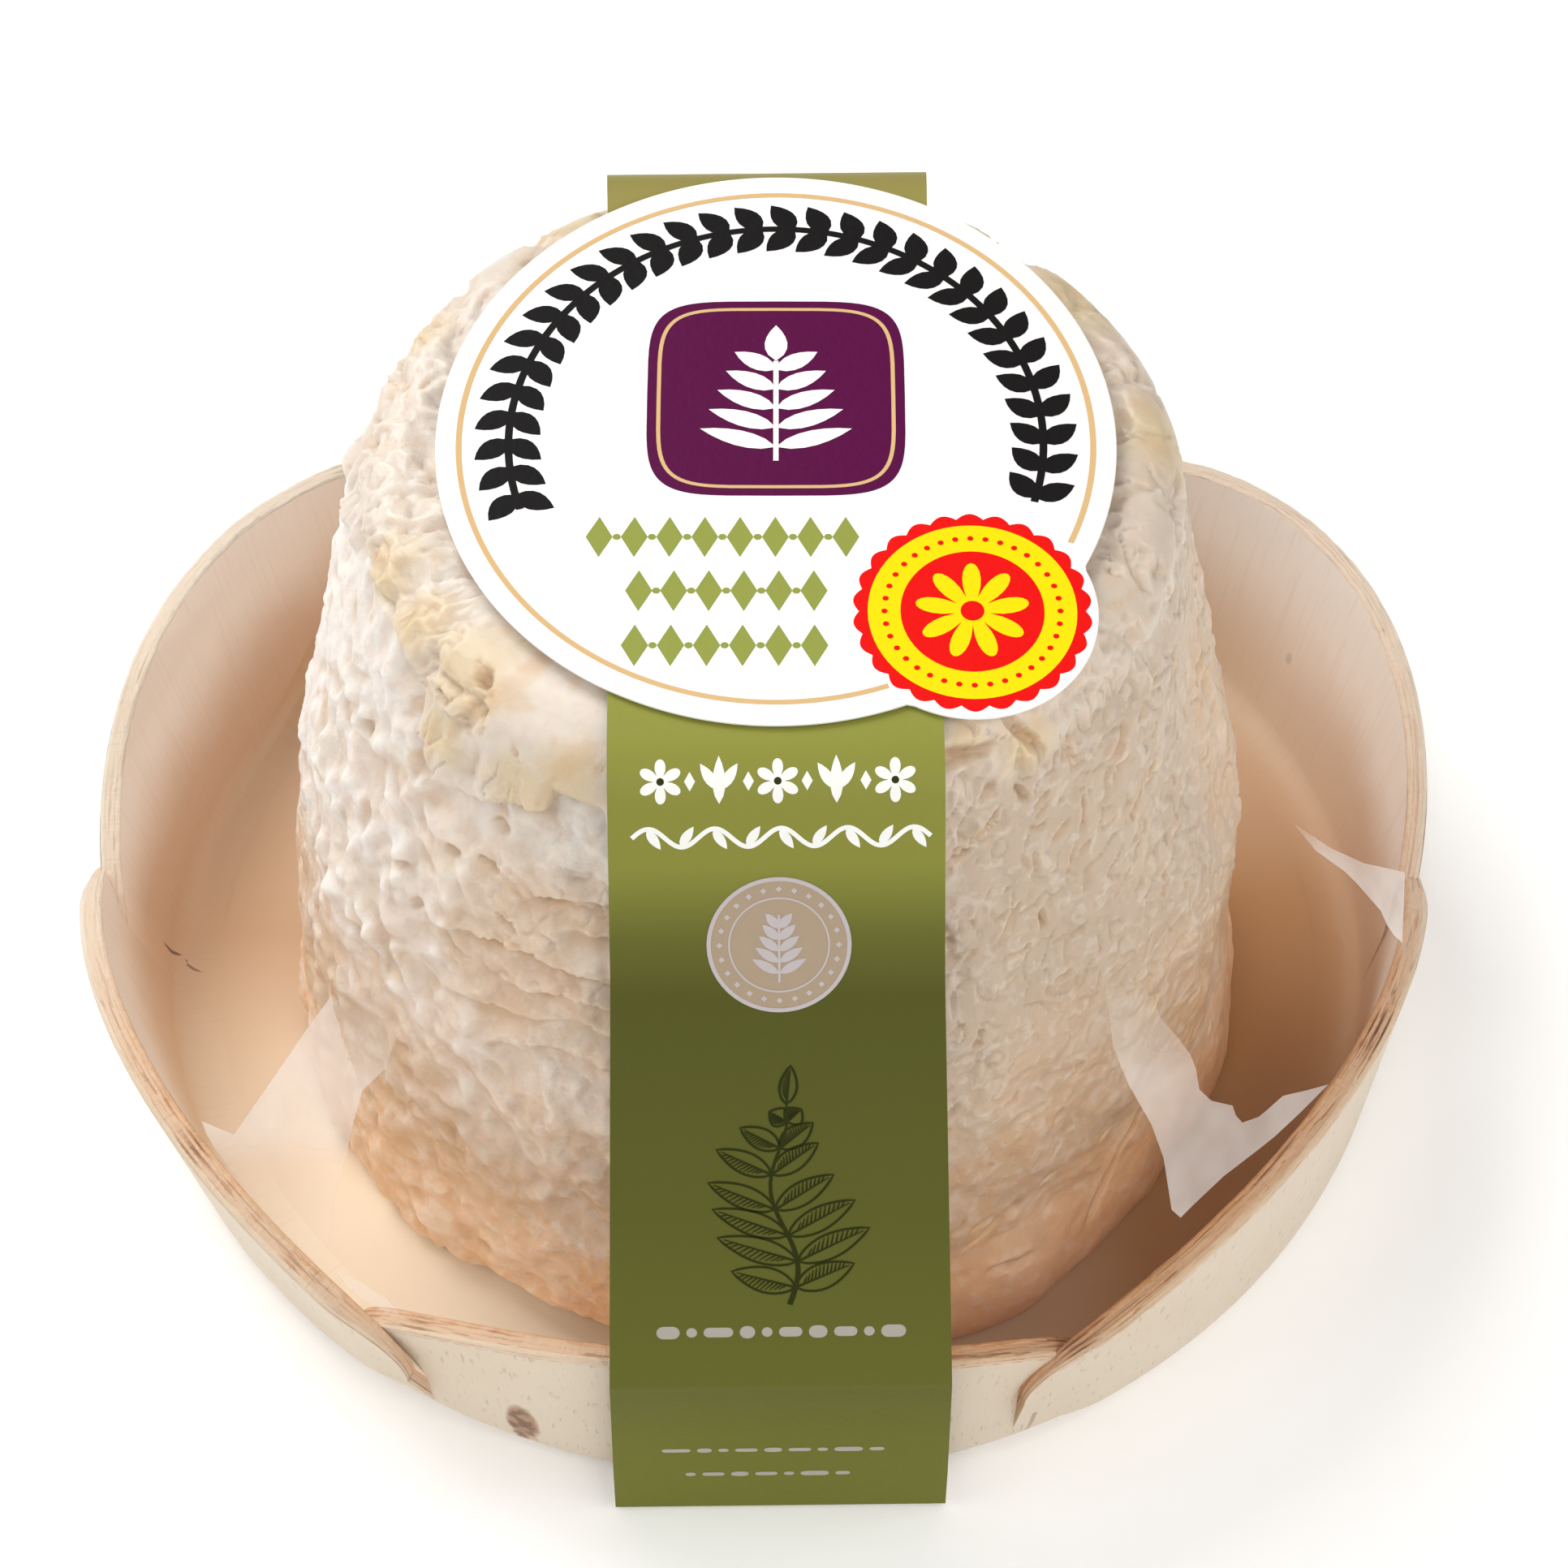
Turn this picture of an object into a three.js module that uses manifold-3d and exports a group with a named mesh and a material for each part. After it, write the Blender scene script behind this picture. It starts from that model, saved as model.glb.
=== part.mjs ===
// Chabichou, a small goat's cheese in the shape of a blunt cone, in its retail pack: a tray moulded
// from six lapped petals of poplar veneer, clear film drawn tight round cheese and tray, a paper band
// round the whole pack, and an oval card lying on top. Every piece is one closed solid of its own.
//
// Units are millimetres and +Z is up. Z = 0 is the table, the origin is under the middle of the pack,
// and the front faces -Y. Azimuths are in degrees from the front, growing towards -X.

import * as THREE from 'three';
import { ConvexGeometry } from 'three/addons/geometries/ConvexGeometry.js';
import { ImprovedNoise } from 'three/addons/math/ImprovedNoise.js';
import { mergeVertices } from 'three/addons/utils/BufferGeometryUtils.js';
import Module from 'manifold-3d';

const wasm = await Module();
wasm.setup();

// Thin pieces, and the air left between pieces that touch
const PAPER_THICKNESS = 0.25;
const FILM_THICKNESS = 0.2;
const CARD_THICKNESS = 0.35;
const AIR = 0.15;

// Cheese: radius at each height above its foot, from the foot's edge up to the rounded top edge
const CHEESE_HEIGHT = 51.5;
const CHEESE_EDGE = 4;
const CHEESE_TOP_FLAT = 23.4;
const CHEESE_SIDE = [
  [31.6, 0], [33.1, 1.6], [32.7, 8], [32.5, 16], [32.1, 23],
  [30.6, 31.5], [29.1, 38], [28, 44], [27.5, 46.5],
];
const CHEESE_BOTTOM_RINGS = [12, 22, 29];
const CHEESE_TOP_RINGS = [15, 7.5];
const EDGE_TURNS = [24, 42, 60, 78];
const CHEESE_COLUMNS = 84;
const CHEESE_SIDE_ROWS = 26;

// The cheese leans back: its foot lies in front of the tray's centre, and its top behind it
const FOOT_FORWARD = 1.8;
const TOP_BACK = 1.3;

// Rind: a thick folded lip under the top edge, lumps and hollows, and a foot lifted off the tray in front
const LIP = { height: 47, wave: 1.3, folds: 3, ripples: 8, proud: 0.9, groove: 0.9, reach: 2.6, soft: 0.7 };
const LIP_FACES = 50;
const LIP_LEAST = 0.35;
const LUMPS = [{ size: 9, depth: 0.75 }, { size: 4.6, depth: 0.45 }];
const PRESSED_SLOPE = 0.5;
const FOOT_LIFT = { azimuth: 27, spread: 13, height: 1.5, reach: 4, from: 27, to: 32 };

// Tray: one wall of petals standing on a flat floor, each petal lapped inside or outside its neighbours
const VENEER = 1.7;
const TRAY_FOOT_RADIUS = 43.8;
const TRAY_CORNER = 3.5;
const FLOOR_RADIUS = 39.5;
const FLANGE_RADIUS = 38;
const LAP_DEGREES = 3.5;
const LAP_BITE = 0.1;
const SLIM = 0.08;
const SKIVE = 0.45;
const SKIVE_SHARE = 0.13;
const END_RISE = 8.5;
const RISE_FULLNESS = 0.55;
const REACH_FULLNESS = 0.8;
const PETAL_COLUMNS = 14;
const JOINTS = [
  { azimuth: -25.5, radius: 44.6 },
  { azimuth: 34, radius: 46.0 },
  { azimuth: 89, radius: 46.8 },
  { azimuth: 150, radius: 46.2 },
  { azimuth: 213, radius: 46.2 },
  { azimuth: 271, radius: 45.3 },
];
const PETALS = [
  { reach: 45.6, rise: 17.9, outside: false },
  { reach: 48.1, rise: 17.9, outside: true },
  { reach: 48.3, rise: 17.9, outside: false },
  { reach: 47.2, rise: 17.9, outside: true },
  { reach: 48.8, rise: 18.2, outside: false },
  { reach: 45.7, rise: 17.9, outside: true },
];

// Film: a small vent in the base lets the air out as the film is shrunk
const VENT_RADIUS = 4;
const VENT_DEPTH = 2;
const FILM_TOP_COLUMNS = 44;

// Paper band, turned a little on the pack, and the card with a bulge round its seal
const BAND_WIDTH = 22.1;
const BAND_X = 0.35;
const BAND_TURN = 0.75;
const BAND_FRONT_RIM = 46.1;
const BAND_BACK_RIM = 47.3;
const RIM_INNER_RISE = 0.2;
const BELT_STEPS = 40;
const CARD_RADIUS = 21.9;
const CARD_STRETCH = 1.09;
const CARD_CENTRE = [0.64, 2];
const SEAL_RADIUS = 7.9;
const SEAL_OFFSET = [12.3, -13.5];

// Heights of the stack, from the table up
const TRAY_FOOT = PAPER_THICKNESS + AIR + FILM_THICKNESS + AIR;
const CHEESE_FOOT = TRAY_FOOT + VENEER + AIR;
const CHEESE_TOP = CHEESE_FOOT + CHEESE_HEIGHT;
const FILM_GROWTH = AIR + FILM_THICKNESS;
const BAND_GROWTH = FILM_GROWTH + AIR;
const CARD_FOOT = CHEESE_TOP + BAND_GROWTH + PAPER_THICKNESS + AIR;

const noise = new ImprovedNoise();
const { clamp, degToRad, euclideanModulo, lerp, smoothstep } = THREE.MathUtils;

// A point at a radius, a height and an azimuth measured from the front towards -X
function polar(radius, azimuth, z) {
  const angle = degToRad(azimuth);
  return new THREE.Vector3(-radius * Math.sin(angle), -radius * Math.cos(angle), z);
}

function piece(name, geometry, color, roughness) {
  const look = new THREE.MeshStandardMaterial({ color, roughness, metalness: 0 });
  const mesh = new THREE.Mesh(geometry, look);
  mesh.name = name;
  return mesh;
}

function geometryFrom(points, triangles) {
  const geometry = new THREE.BufferGeometry();
  const numbers = points.flatMap((p) => p.toArray());
  geometry.setAttribute('position', new THREE.Float32BufferAttribute(numbers, 3));
  geometry.setIndex(triangles);
  return geometry;
}

function toSolid(geometry) {
  const bare = new THREE.BufferGeometry();
  bare.setAttribute('position', geometry.getAttribute('position').clone());
  if (geometry.index) bare.setIndex(geometry.index.clone());
  const merged = mergeVertices(bare);
  return new wasm.Manifold(new wasm.Mesh({
    numProp: 3,
    vertProperties: new Float32Array(merged.getAttribute('position').array),
    triVerts: new Uint32Array(merged.index.array),
  }));
}

function fromSolid(solid) {
  const mesh = solid.getMesh();
  const geometry = new THREE.BufferGeometry();
  geometry.setAttribute('position', new THREE.Float32BufferAttribute(mesh.vertProperties, 3));
  geometry.setIndex(new THREE.Uint32BufferAttribute(mesh.triVerts, 1));
  return geometry;
}

// Quads between two closed rings of equal length, each split along its diagonal
function joinRings(triangles, lower, upper, count) {
  for (let i = 0; i < count; i += 1) {
    const j = (i + 1) % count;
    triangles.push(lower + i, lower + j, upper + j);
    triangles.push(lower + i, upper + j, upper + i);
  }
}

// How far behind the tray's centre the cheese's axis lies at a height, all of the top edge alike
function leanAt(height) {
  const share = Math.min(1, height / (CHEESE_HEIGHT - CHEESE_EDGE));
  return lerp(-FOOT_FORWARD, TOP_BACK, share);
}

// Section of the cheese through its axis, as [radius, height] pairs from the bottom's centre to the top's
function cheeseSection() {
  const side = new THREE.SplineCurve(CHEESE_SIDE.map(([r, h]) => new THREE.Vector2(r, h)));
  const section = CHEESE_BOTTOM_RINGS.map((radius) => [radius, 0]);
  for (const p of side.getSpacedPoints(CHEESE_SIDE_ROWS)) section.push([p.x, p.y]);
  for (const turn of EDGE_TURNS) {
    const angle = degToRad(turn);
    const radius = CHEESE_TOP_FLAT + CHEESE_EDGE * Math.cos(angle);
    section.push([radius, CHEESE_HEIGHT - CHEESE_EDGE + CHEESE_EDGE * Math.sin(angle)]);
  }
  for (const radius of [CHEESE_TOP_FLAT, ...CHEESE_TOP_RINGS]) section.push([radius, CHEESE_HEIGHT]);
  return section;
}

// How far the folded lip stands out at a height: proud above its wavy lower edge, with a groove below it
function lipRelief(azimuth, height) {
  const angle = degToRad(azimuth);
  const wave = 0.6 * Math.sin(LIP.folds * angle + 0.4) + 0.4 * Math.sin(LIP.ripples * angle);
  const edge = LIP.height + LIP.wave * wave;
  const facing = (1 + Math.cos(angle - degToRad(LIP_FACES))) / 2;
  const strength = lerp(LIP_LEAST, 1, facing);
  const above = smoothstep(height, edge - LIP.soft, edge + LIP.soft);
  const below = (1 - above) * Math.exp(-(((height - edge) / LIP.reach) ** 2));
  return strength * (LIP.proud * above - LIP.groove * below);
}

function lumpRelief(point) {
  let total = 0;
  for (const { size, depth } of LUMPS) {
    total += depth * noise.noise(point.x / size + 3.1, point.y / size + 7.7, point.z / size + 1.9);
  }
  return total;
}

// The film presses the top edge to its plain rounded shape, so nothing stands proud of it up there
function cheeseRelief(azimuth, radius, height) {
  const relief = lipRelief(azimuth, height) + lumpRelief(polar(radius, azimuth, height));
  const room = Math.max(0, PRESSED_SLOPE * (CHEESE_HEIGHT - CHEESE_EDGE - height));
  return Math.min(relief, room);
}

function footLift(azimuth, radius, height) {
  const turn = euclideanModulo(azimuth - FOOT_LIFT.azimuth + 180, 360) - 180;
  const away = turn / FOOT_LIFT.spread;
  const outward = smoothstep(radius, FOOT_LIFT.from, FOOT_LIFT.to);
  const fade = 1 - smoothstep(height, 0, FOOT_LIFT.reach);
  return FOOT_LIFT.height * Math.exp(-away * away) * outward * fade;
}

function cheesePoint(section, row, azimuth) {
  const [radius, height] = section[row];
  const before = section[Math.max(0, row - 1)];
  const after = section[Math.min(section.length - 1, row + 1)];
  const normal = new THREE.Vector2(after[1] - before[1], before[0] - after[0]).normalize();
  const isBottom = row < CHEESE_BOTTOM_RINGS.length;
  const relief = isBottom ? 0 : cheeseRelief(azimuth, radius, height);
  const level = clamp(height + normal.y * relief, 0, CHEESE_HEIGHT);
  const point = polar(radius + normal.x * relief, azimuth, level + footLift(azimuth, radius, height));
  point.y += leanAt(height);
  return point;
}

function cheese() {
  const section = cheeseSection();
  const points = [new THREE.Vector3(0, leanAt(0), 0)];
  for (let row = 0; row < section.length; row += 1) {
    for (let column = 0; column < CHEESE_COLUMNS; column += 1) {
      points.push(cheesePoint(section, row, (-360 * column) / CHEESE_COLUMNS));
    }
  }
  points.push(new THREE.Vector3(0, leanAt(CHEESE_HEIGHT), CHEESE_HEIGHT));
  const triangles = [];
  for (let row = 0; row + 1 < section.length; row += 1) {
    const ring = 1 + row * CHEESE_COLUMNS;
    joinRings(triangles, ring, ring + CHEESE_COLUMNS, CHEESE_COLUMNS);
  }
  const last = points.length - 1;
  const lastRing = last - CHEESE_COLUMNS;
  for (let column = 0; column < CHEESE_COLUMNS; column += 1) {
    const next = (column + 1) % CHEESE_COLUMNS;
    triangles.push(0, 1 + next, 1 + column);
    triangles.push(last, lastRing + column, lastRing + next);
  }
  const mesh = piece('cheese', geometryFrom(points, triangles), 0xe9ddcd, 0.6);
  mesh.position.z = CHEESE_FOOT;
  return mesh;
}

// Height and radius of a petal's rim, and its azimuth, a share of the way along it
function petalRim(index, share) {
  const petal = PETALS[index];
  const first = JOINTS[index];
  const second = JOINTS[(index + 1) % JOINTS.length];
  const from = first.azimuth - LAP_DEGREES;
  const to = second.azimuth + LAP_DEGREES + (second.azimuth < first.azimuth ? 360 : 0);
  const outward = petal.outside ? VENEER - LAP_BITE : 0;
  const arch = Math.sin(Math.PI * share);
  const ends = lerp(first.radius, second.radius, share) + outward;
  const middle = (first.radius + second.radius) / 2 + outward;
  return {
    azimuth: lerp(from, to, share),
    height: END_RISE + (petal.rise - END_RISE) * arch ** RISE_FULLNESS,
    radius: ends + (petal.reach - middle) * arch ** REACH_FULLNESS,
  };
}

// Wall of the tray in section, from the floor round the corner to the rim, a depth in from its outer face
function wallLine(rim, depth) {
  const rise = Math.atan2(rim.height, rim.radius - TRAY_FOOT_RADIUS);
  const centre = TRAY_FOOT_RADIUS - TRAY_CORNER * Math.tan(rise / 2);
  const bend = TRAY_CORNER - depth;
  const line = [[FLANGE_RADIUS, depth]];
  for (const share of [0, 1 / 3, 2 / 3, 1]) {
    const angle = rise * share;
    line.push([centre + bend * Math.sin(angle), TRAY_CORNER - bend * Math.cos(angle)]);
  }
  line.push([rim.radius - depth * Math.sin(rise), rim.height + depth * Math.cos(rise)]);
  return line;
}

function petalShare(column) {
  return (1 - Math.cos((Math.PI * column) / (PETAL_COLUMNS - 1))) / 2;
}

// How much thinner a petal is on its outer face: outside petals are pared down towards both ends
function paredDepth(index, share) {
  if (!PETALS[index].outside) return SLIM;
  return SKIVE * VENEER * (1 - smoothstep(Math.min(share, 1 - share), 0, SKIVE_SHARE));
}

// One petal with its strip of floor: an outer and an inner face joined at the rim, the floor and both ends
function petalSolid(index) {
  const innerDepth = PETALS[index].outside ? VENEER : VENEER - SLIM;
  const points = [];
  const triangles = [];
  let ring = 0;
  for (let column = 0; column < PETAL_COLUMNS; column += 1) {
    const share = petalShare(column);
    const rim = petalRim(index, share);
    const outer = wallLine(rim, paredDepth(index, share));
    const inner = wallLine(rim, innerDepth).reverse();
    ring = outer.length + inner.length;
    for (const [radius, height] of [...outer, ...inner]) points.push(polar(radius, rim.azimuth, height));
    if (column > 0) joinRings(triangles, (column - 1) * ring, column * ring, ring);
  }
  const end = (PETAL_COLUMNS - 1) * ring;
  for (let k = 0; k < ring / 2 - 1; k += 1) {
    const inner = ring - 1 - k;
    triangles.push(k, inner - 1, k + 1, k, inner, inner - 1);
    triangles.push(end + k, end + k + 1, end + inner - 1, end + k, end + inner - 1, end + inner);
  }
  return toSolid(geometryFrom(points, triangles));
}

function floorSolid() {
  const disc = new THREE.CylinderGeometry(FLOOR_RADIUS, FLOOR_RADIUS, VENEER - 4 * SLIM, 72);
  disc.rotateX(Math.PI / 2);
  disc.translate(0, 0, VENEER / 2);
  return toSolid(disc);
}

function tray() {
  let solid = floorSolid();
  for (let index = 0; index < PETALS.length; index += 1) solid = solid.add(petalSolid(index));
  const mesh = piece('tray', fromSolid(solid), 0xe6cdb2, 0.75);
  mesh.position.z = TRAY_FOOT;
  return mesh;
}

// Points that hold the film out: the tray's outer faces and rims and the cheese's top edge, all grown
function filmSupports(growth) {
  const supports = [];
  for (let index = 0; index < PETALS.length; index += 1) {
    for (let column = 0; column < PETAL_COLUMNS; column += 1) {
      const rim = petalRim(index, petalShare(column));
      const wall = wallLine(rim, -growth).slice(1);
      wall[wall.length - 1][1] += 2 * growth;
      for (const [radius, height] of wall) supports.push(polar(radius, rim.azimuth, TRAY_FOOT + height));
    }
  }
  const bend = CHEESE_EDGE + growth;
  for (let column = 0; column < FILM_TOP_COLUMNS; column += 1) {
    for (const turn of [...EDGE_TURNS, 90]) {
      const radius = CHEESE_TOP_FLAT + bend * Math.cos(degToRad(turn));
      const height = CHEESE_TOP - CHEESE_EDGE + bend * Math.sin(degToRad(turn));
      const support = polar(radius, (360 * column) / FILM_TOP_COLUMNS, height);
      support.y += TOP_BACK;
      supports.push(support);
    }
  }
  return supports;
}

function film() {
  const outside = toSolid(new ConvexGeometry(filmSupports(FILM_GROWTH)));
  const inside = toSolid(new ConvexGeometry(filmSupports(AIR)));
  const vent = new THREE.CylinderGeometry(VENT_RADIUS, VENT_RADIUS, VENT_DEPTH, 32);
  vent.rotateX(Math.PI / 2);
  vent.translate(0, 0, TRAY_FOOT - AIR);
  const shell = outside.subtract(inside).subtract(toSolid(vent));
  return piece('film', fromSolid(shell), 0xf4f1ea, 0.1);
}

// One side of the convex outline of points that are sorted along the first axis
function halfHull(ordered) {
  const hull = [];
  for (const point of ordered) {
    while (hull.length > 1) {
      const edge = hull[hull.length - 1].clone().sub(hull[hull.length - 2]);
      if (edge.cross(point.clone().sub(hull[hull.length - 1])) > 1e-6) break;
      hull.pop();
    }
    hull.push(point);
  }
  return hull.slice(0, -1);
}

// Convex outline drawn tight round a set of circles, each [y, z, radius], like a belt round pulleys
function beltRound(circles, growth) {
  const points = [];
  for (const [y, z, radius] of circles) {
    const reach = radius + growth;
    for (let step = 0; step < BELT_STEPS; step += 1) {
      const angle = (2 * Math.PI * step) / BELT_STEPS;
      points.push(new THREE.Vector2(y + reach * Math.cos(angle), z + reach * Math.sin(angle)));
    }
  }
  points.sort((a, b) => a.x - b.x || a.y - b.y);
  return [...halfHull(points), ...halfHull([...points].reverse())];
}

function band() {
  const rimHeight = TRAY_FOOT + PETALS[0].rise + RIM_INNER_RISE;
  const circles = [
    [TOP_BACK - CHEESE_TOP_FLAT, CHEESE_TOP - CHEESE_EDGE, CHEESE_EDGE],
    [TOP_BACK + CHEESE_TOP_FLAT, CHEESE_TOP - CHEESE_EDGE, CHEESE_EDGE],
    [-BAND_FRONT_RIM, rimHeight, 0],
    [BAND_BACK_RIM, rimHeight, 0],
    [-TRAY_FOOT_RADIUS, TRAY_FOOT, 0],
    [TRAY_FOOT_RADIUS, TRAY_FOOT, 0],
  ];
  const outline = new THREE.Shape(beltRound(circles, BAND_GROWTH + PAPER_THICKNESS));
  outline.holes.push(new THREE.Path(beltRound(circles, BAND_GROWTH)));
  const strip = new THREE.ExtrudeGeometry(outline, { depth: BAND_WIDTH, bevelEnabled: false });
  strip.translate(0, 0, -BAND_WIDTH / 2);
  const mesh = piece('band', strip, 0x86893f, 0.45);
  mesh.rotateZ(degToRad(BAND_TURN));
  mesh.rotateOnAxis(new THREE.Vector3(1, 1, 1).normalize(), degToRad(120));
  mesh.position.x = BAND_X;
  return mesh;
}

// Oval card whose edge bulges round the seal printed at its lower right
function card() {
  const [x, y] = SEAL_OFFSET;
  const apart = Math.hypot(x, y);
  const towards = Math.atan2(y, x);
  const cut = Math.acos((CARD_RADIUS ** 2 + apart ** 2 - SEAL_RADIUS ** 2) / (2 * CARD_RADIUS * apart));
  const turn = Math.acos((SEAL_RADIUS ** 2 + apart ** 2 - CARD_RADIUS ** 2) / (2 * SEAL_RADIUS * apart));
  const outline = new THREE.Shape();
  outline.absarc(0, 0, CARD_RADIUS, towards + cut, towards - cut + 2 * Math.PI, false);
  outline.absarc(x, y, SEAL_RADIUS, towards - (Math.PI - turn), towards + (Math.PI - turn), false);
  const sheet = { depth: CARD_THICKNESS, bevelEnabled: false, curveSegments: 48 };
  const disc = new THREE.ExtrudeGeometry(outline, sheet);
  disc.scale(1, CARD_STRETCH, 1);
  const mesh = piece('card', disc, 0xf7f5f0, 0.5);
  mesh.position.set(CARD_CENTRE[0], CARD_CENTRE[1], CARD_FOOT);
  return mesh;
}

const pack = new THREE.Group();
pack.add(cheese(), tray(), film(), band(), card());

const middle = new THREE.Box3().setFromObject(pack, true).getCenter(new THREE.Vector3());
pack.position.set(-middle.x, -middle.y, 0);

export default pack;
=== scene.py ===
# %% [markdown]
# A chabichou is a small goat's cheese in the shape of a blunt cone. It is sold in a tray of six wooden
# petals, under clear film, with a paper band round the pack and an oval card on top. The imported model
# already holds those five pieces at their real size. This lesson gives each one its real surface. First it
# loads the model, which is never moved.

# %% Load the imported model
import math

import bmesh
import bpy
import numpy as np
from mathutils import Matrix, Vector, geometry, noise
from mathutils.bvhtree import BVHTree


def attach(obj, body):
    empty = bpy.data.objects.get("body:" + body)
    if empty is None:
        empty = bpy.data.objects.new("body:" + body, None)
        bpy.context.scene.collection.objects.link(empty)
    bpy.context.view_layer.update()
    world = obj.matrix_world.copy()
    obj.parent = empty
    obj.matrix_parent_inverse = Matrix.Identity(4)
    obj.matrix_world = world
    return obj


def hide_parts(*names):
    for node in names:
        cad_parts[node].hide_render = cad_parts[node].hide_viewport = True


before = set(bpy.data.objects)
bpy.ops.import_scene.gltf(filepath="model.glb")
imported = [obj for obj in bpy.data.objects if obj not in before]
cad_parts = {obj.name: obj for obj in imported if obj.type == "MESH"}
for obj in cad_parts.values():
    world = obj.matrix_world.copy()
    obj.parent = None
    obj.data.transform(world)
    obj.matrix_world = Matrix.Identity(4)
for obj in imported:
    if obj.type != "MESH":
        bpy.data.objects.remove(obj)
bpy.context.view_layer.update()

MM = 0.001
BODY = "root"

# %% [markdown]
# A shader is a graph of nodes, and sums drawn as nodes are hard to read. So one small class stands for the
# output of a node: adding, multiplying or dividing two of them adds the Math node that does it. The
# reflected forms let a plain number stand on the left, as in 1 - mask.

# %% Sums on sockets


class Value:
    """One output of a shader node, which can be used in a Python expression."""

    def __init__(self, finish, socket):
        self.finish = finish
        self.socket = socket

    def math(self, operation, *operands):
        return self.finish.node("Math", {"operation": operation}, dict(enumerate(operands)))

    def __add__(self, other):
        return self.math("ADD", self, other)

    def __sub__(self, other):
        return self.math("SUBTRACT", self, other)

    def __rsub__(self, other):
        return self.math("SUBTRACT", other, self)

    def __mul__(self, other):
        return self.math("MULTIPLY", self, other)

    def __truediv__(self, other):
        return self.math("DIVIDE", self, other)

    def __pow__(self, other):
        return self.math("POWER", self, other)

    __radd__ = __add__
    __rmul__ = __mul__

# %% [markdown]
# Every other node comes from one method: its type, then its settings, then the values or links of its
# inputs. On top of it stand a few words that this pack's finishes share, such as a noise of a given size
# in millimetres. Colours are written as they look on a screen, from 0 to 255, and made linear here.

# %% One method for every node


def paint(red, green, blue):
    """A linear colour from the red, green and blue that a screen shows."""
    def linear(part):
        share = part / 255
        return share / 12.92 if share <= 0.04045 else ((share + 0.055) / 1.055) ** 2.4
    return (linear(red), linear(green), linear(blue), 1.0)


def fill_ramp(ramp, stops):
    """Give a ramp its stops, which run from its start to its end."""
    ramp.elements[0].color = stops[0][1]
    ramp.elements[-1].color = stops[-1][1]
    for share, colour in stops[1:-1]:
        ramp.elements.new(share).color = colour


class Finish:
    """A material and the nodes that make it."""

    def __init__(self, name):
        self.material = bpy.data.materials.new(name)
        self.material.use_nodes = True
        self.tree = self.material.node_tree
        self.tree.nodes.clear()

    def node(self, kind, settings=None, inputs=None, output=0):
        node = self.tree.nodes.new("ShaderNode" + kind)
        for name, setting in (settings or {}).items():
            if name == "stops":
                fill_ramp(node.color_ramp, setting)
            else:
                setattr(node, name, setting)
        for name, value in (inputs or {}).items():
            if isinstance(value, Value):
                self.tree.links.new(value.socket, node.inputs[name])
            else:
                node.inputs[name].default_value = value
        return None if output is None else Value(self, node.outputs[output])

    def read(self, attribute):
        """A number that the mesh carries at each vertex."""
        return self.node("Attribute", {"attribute_name": attribute}, output="Fac")

    def place(self):
        """Where a point is in the frame, in millimetres."""
        where = self.node("TexCoord", output="Object")
        return self.node("VectorMath", {"operation": "MULTIPLY"}, {0: where, 1: (1 / MM, 1 / MM, 1 / MM)})

    def noise(self, size, detail=2.0, roughness=0.5):
        """Soft random cloud from 0 to 1, with spots of about a size in millimetres."""
        inputs = {"Vector": self.place(), "Scale": 1 / size, "Detail": detail, "Roughness": roughness}
        return self.node("TexNoise", {"noise_dimensions": "3D"}, inputs)

    def smooth(self, value, low, high):
        """0 below low, 1 above high, and an even S between them."""
        inputs = {"Value": value, "From Min": low, "From Max": high, "To Min": 0.0, "To Max": 1.0}
        return self.node("MapRange", {"interpolation_type": "SMOOTHSTEP"}, inputs)

    def mix(self, share, first, second, blend="MIX"):
        settings = {"data_type": "RGBA", "blend_type": blend}
        return self.node("Mix", settings, {0: share, 6: first, 7: second}, output=2)

    def between(self, share, first, second):
        """A colour that goes from the first to the second as the share goes from 0 to 1."""
        return self.mix(share, paint(*first), paint(*second))

    def coats(self, colour, *layers):
        """Thin coats over a colour. Each is the share that it covers, and its own colour."""
        for share, coat in layers:
            colour = self.mix(share, colour, paint(*coat))
        return colour

    def ramp(self, value, stops):
        """Colours along a value. Each stop is a place in the value's own units, and a colour."""
        low, high = stops[0][0], stops[-1][0]
        shares = [((place - low) / (high - low), paint(*colour)) for place, colour in stops]
        return self.node("ValToRGB", {"stops": shares}, {0: (value - low) / (high - low)})

    def bump(self, height, depth):
        """Small relief: a height from 0 to 1 stands for a depth in millimetres."""
        return self.node("Bump", None, {"Height": height, "Distance": depth * MM, "Strength": 1.0})

    def surface(self, **inputs):
        """The usual shader: a word such as Base_Color names its socket."""
        named = {name.replace("_", " "): value for name, value in inputs.items()}
        return self.node("BsdfPrincipled", None, named)

    def done(self, shader):
        self.node("OutputMaterial", None, {"Surface": shader}, output=None)
        return self.material


print("a mid grey of the screen is", round(paint(128, 128, 128)[0], 3), "in linear light")

# %% [markdown]
# Each mesh here is worked out as a table of points in millimetres, mostly a grid whose rows and columns
# have a meaning, such as height and azimuth. A vertex can carry numbers for its shader to read, so that
# colour follows relief: what is deep is also darker. One helper turns such tables into a piece that rides
# on the pack and stands for its solid.

# %% Pieces from tables of points


def put(name, data):
    """A new object in the scene."""
    made = bpy.data.objects.new(name, data)
    bpy.context.scene.collection.objects.link(made)
    return made


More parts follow.
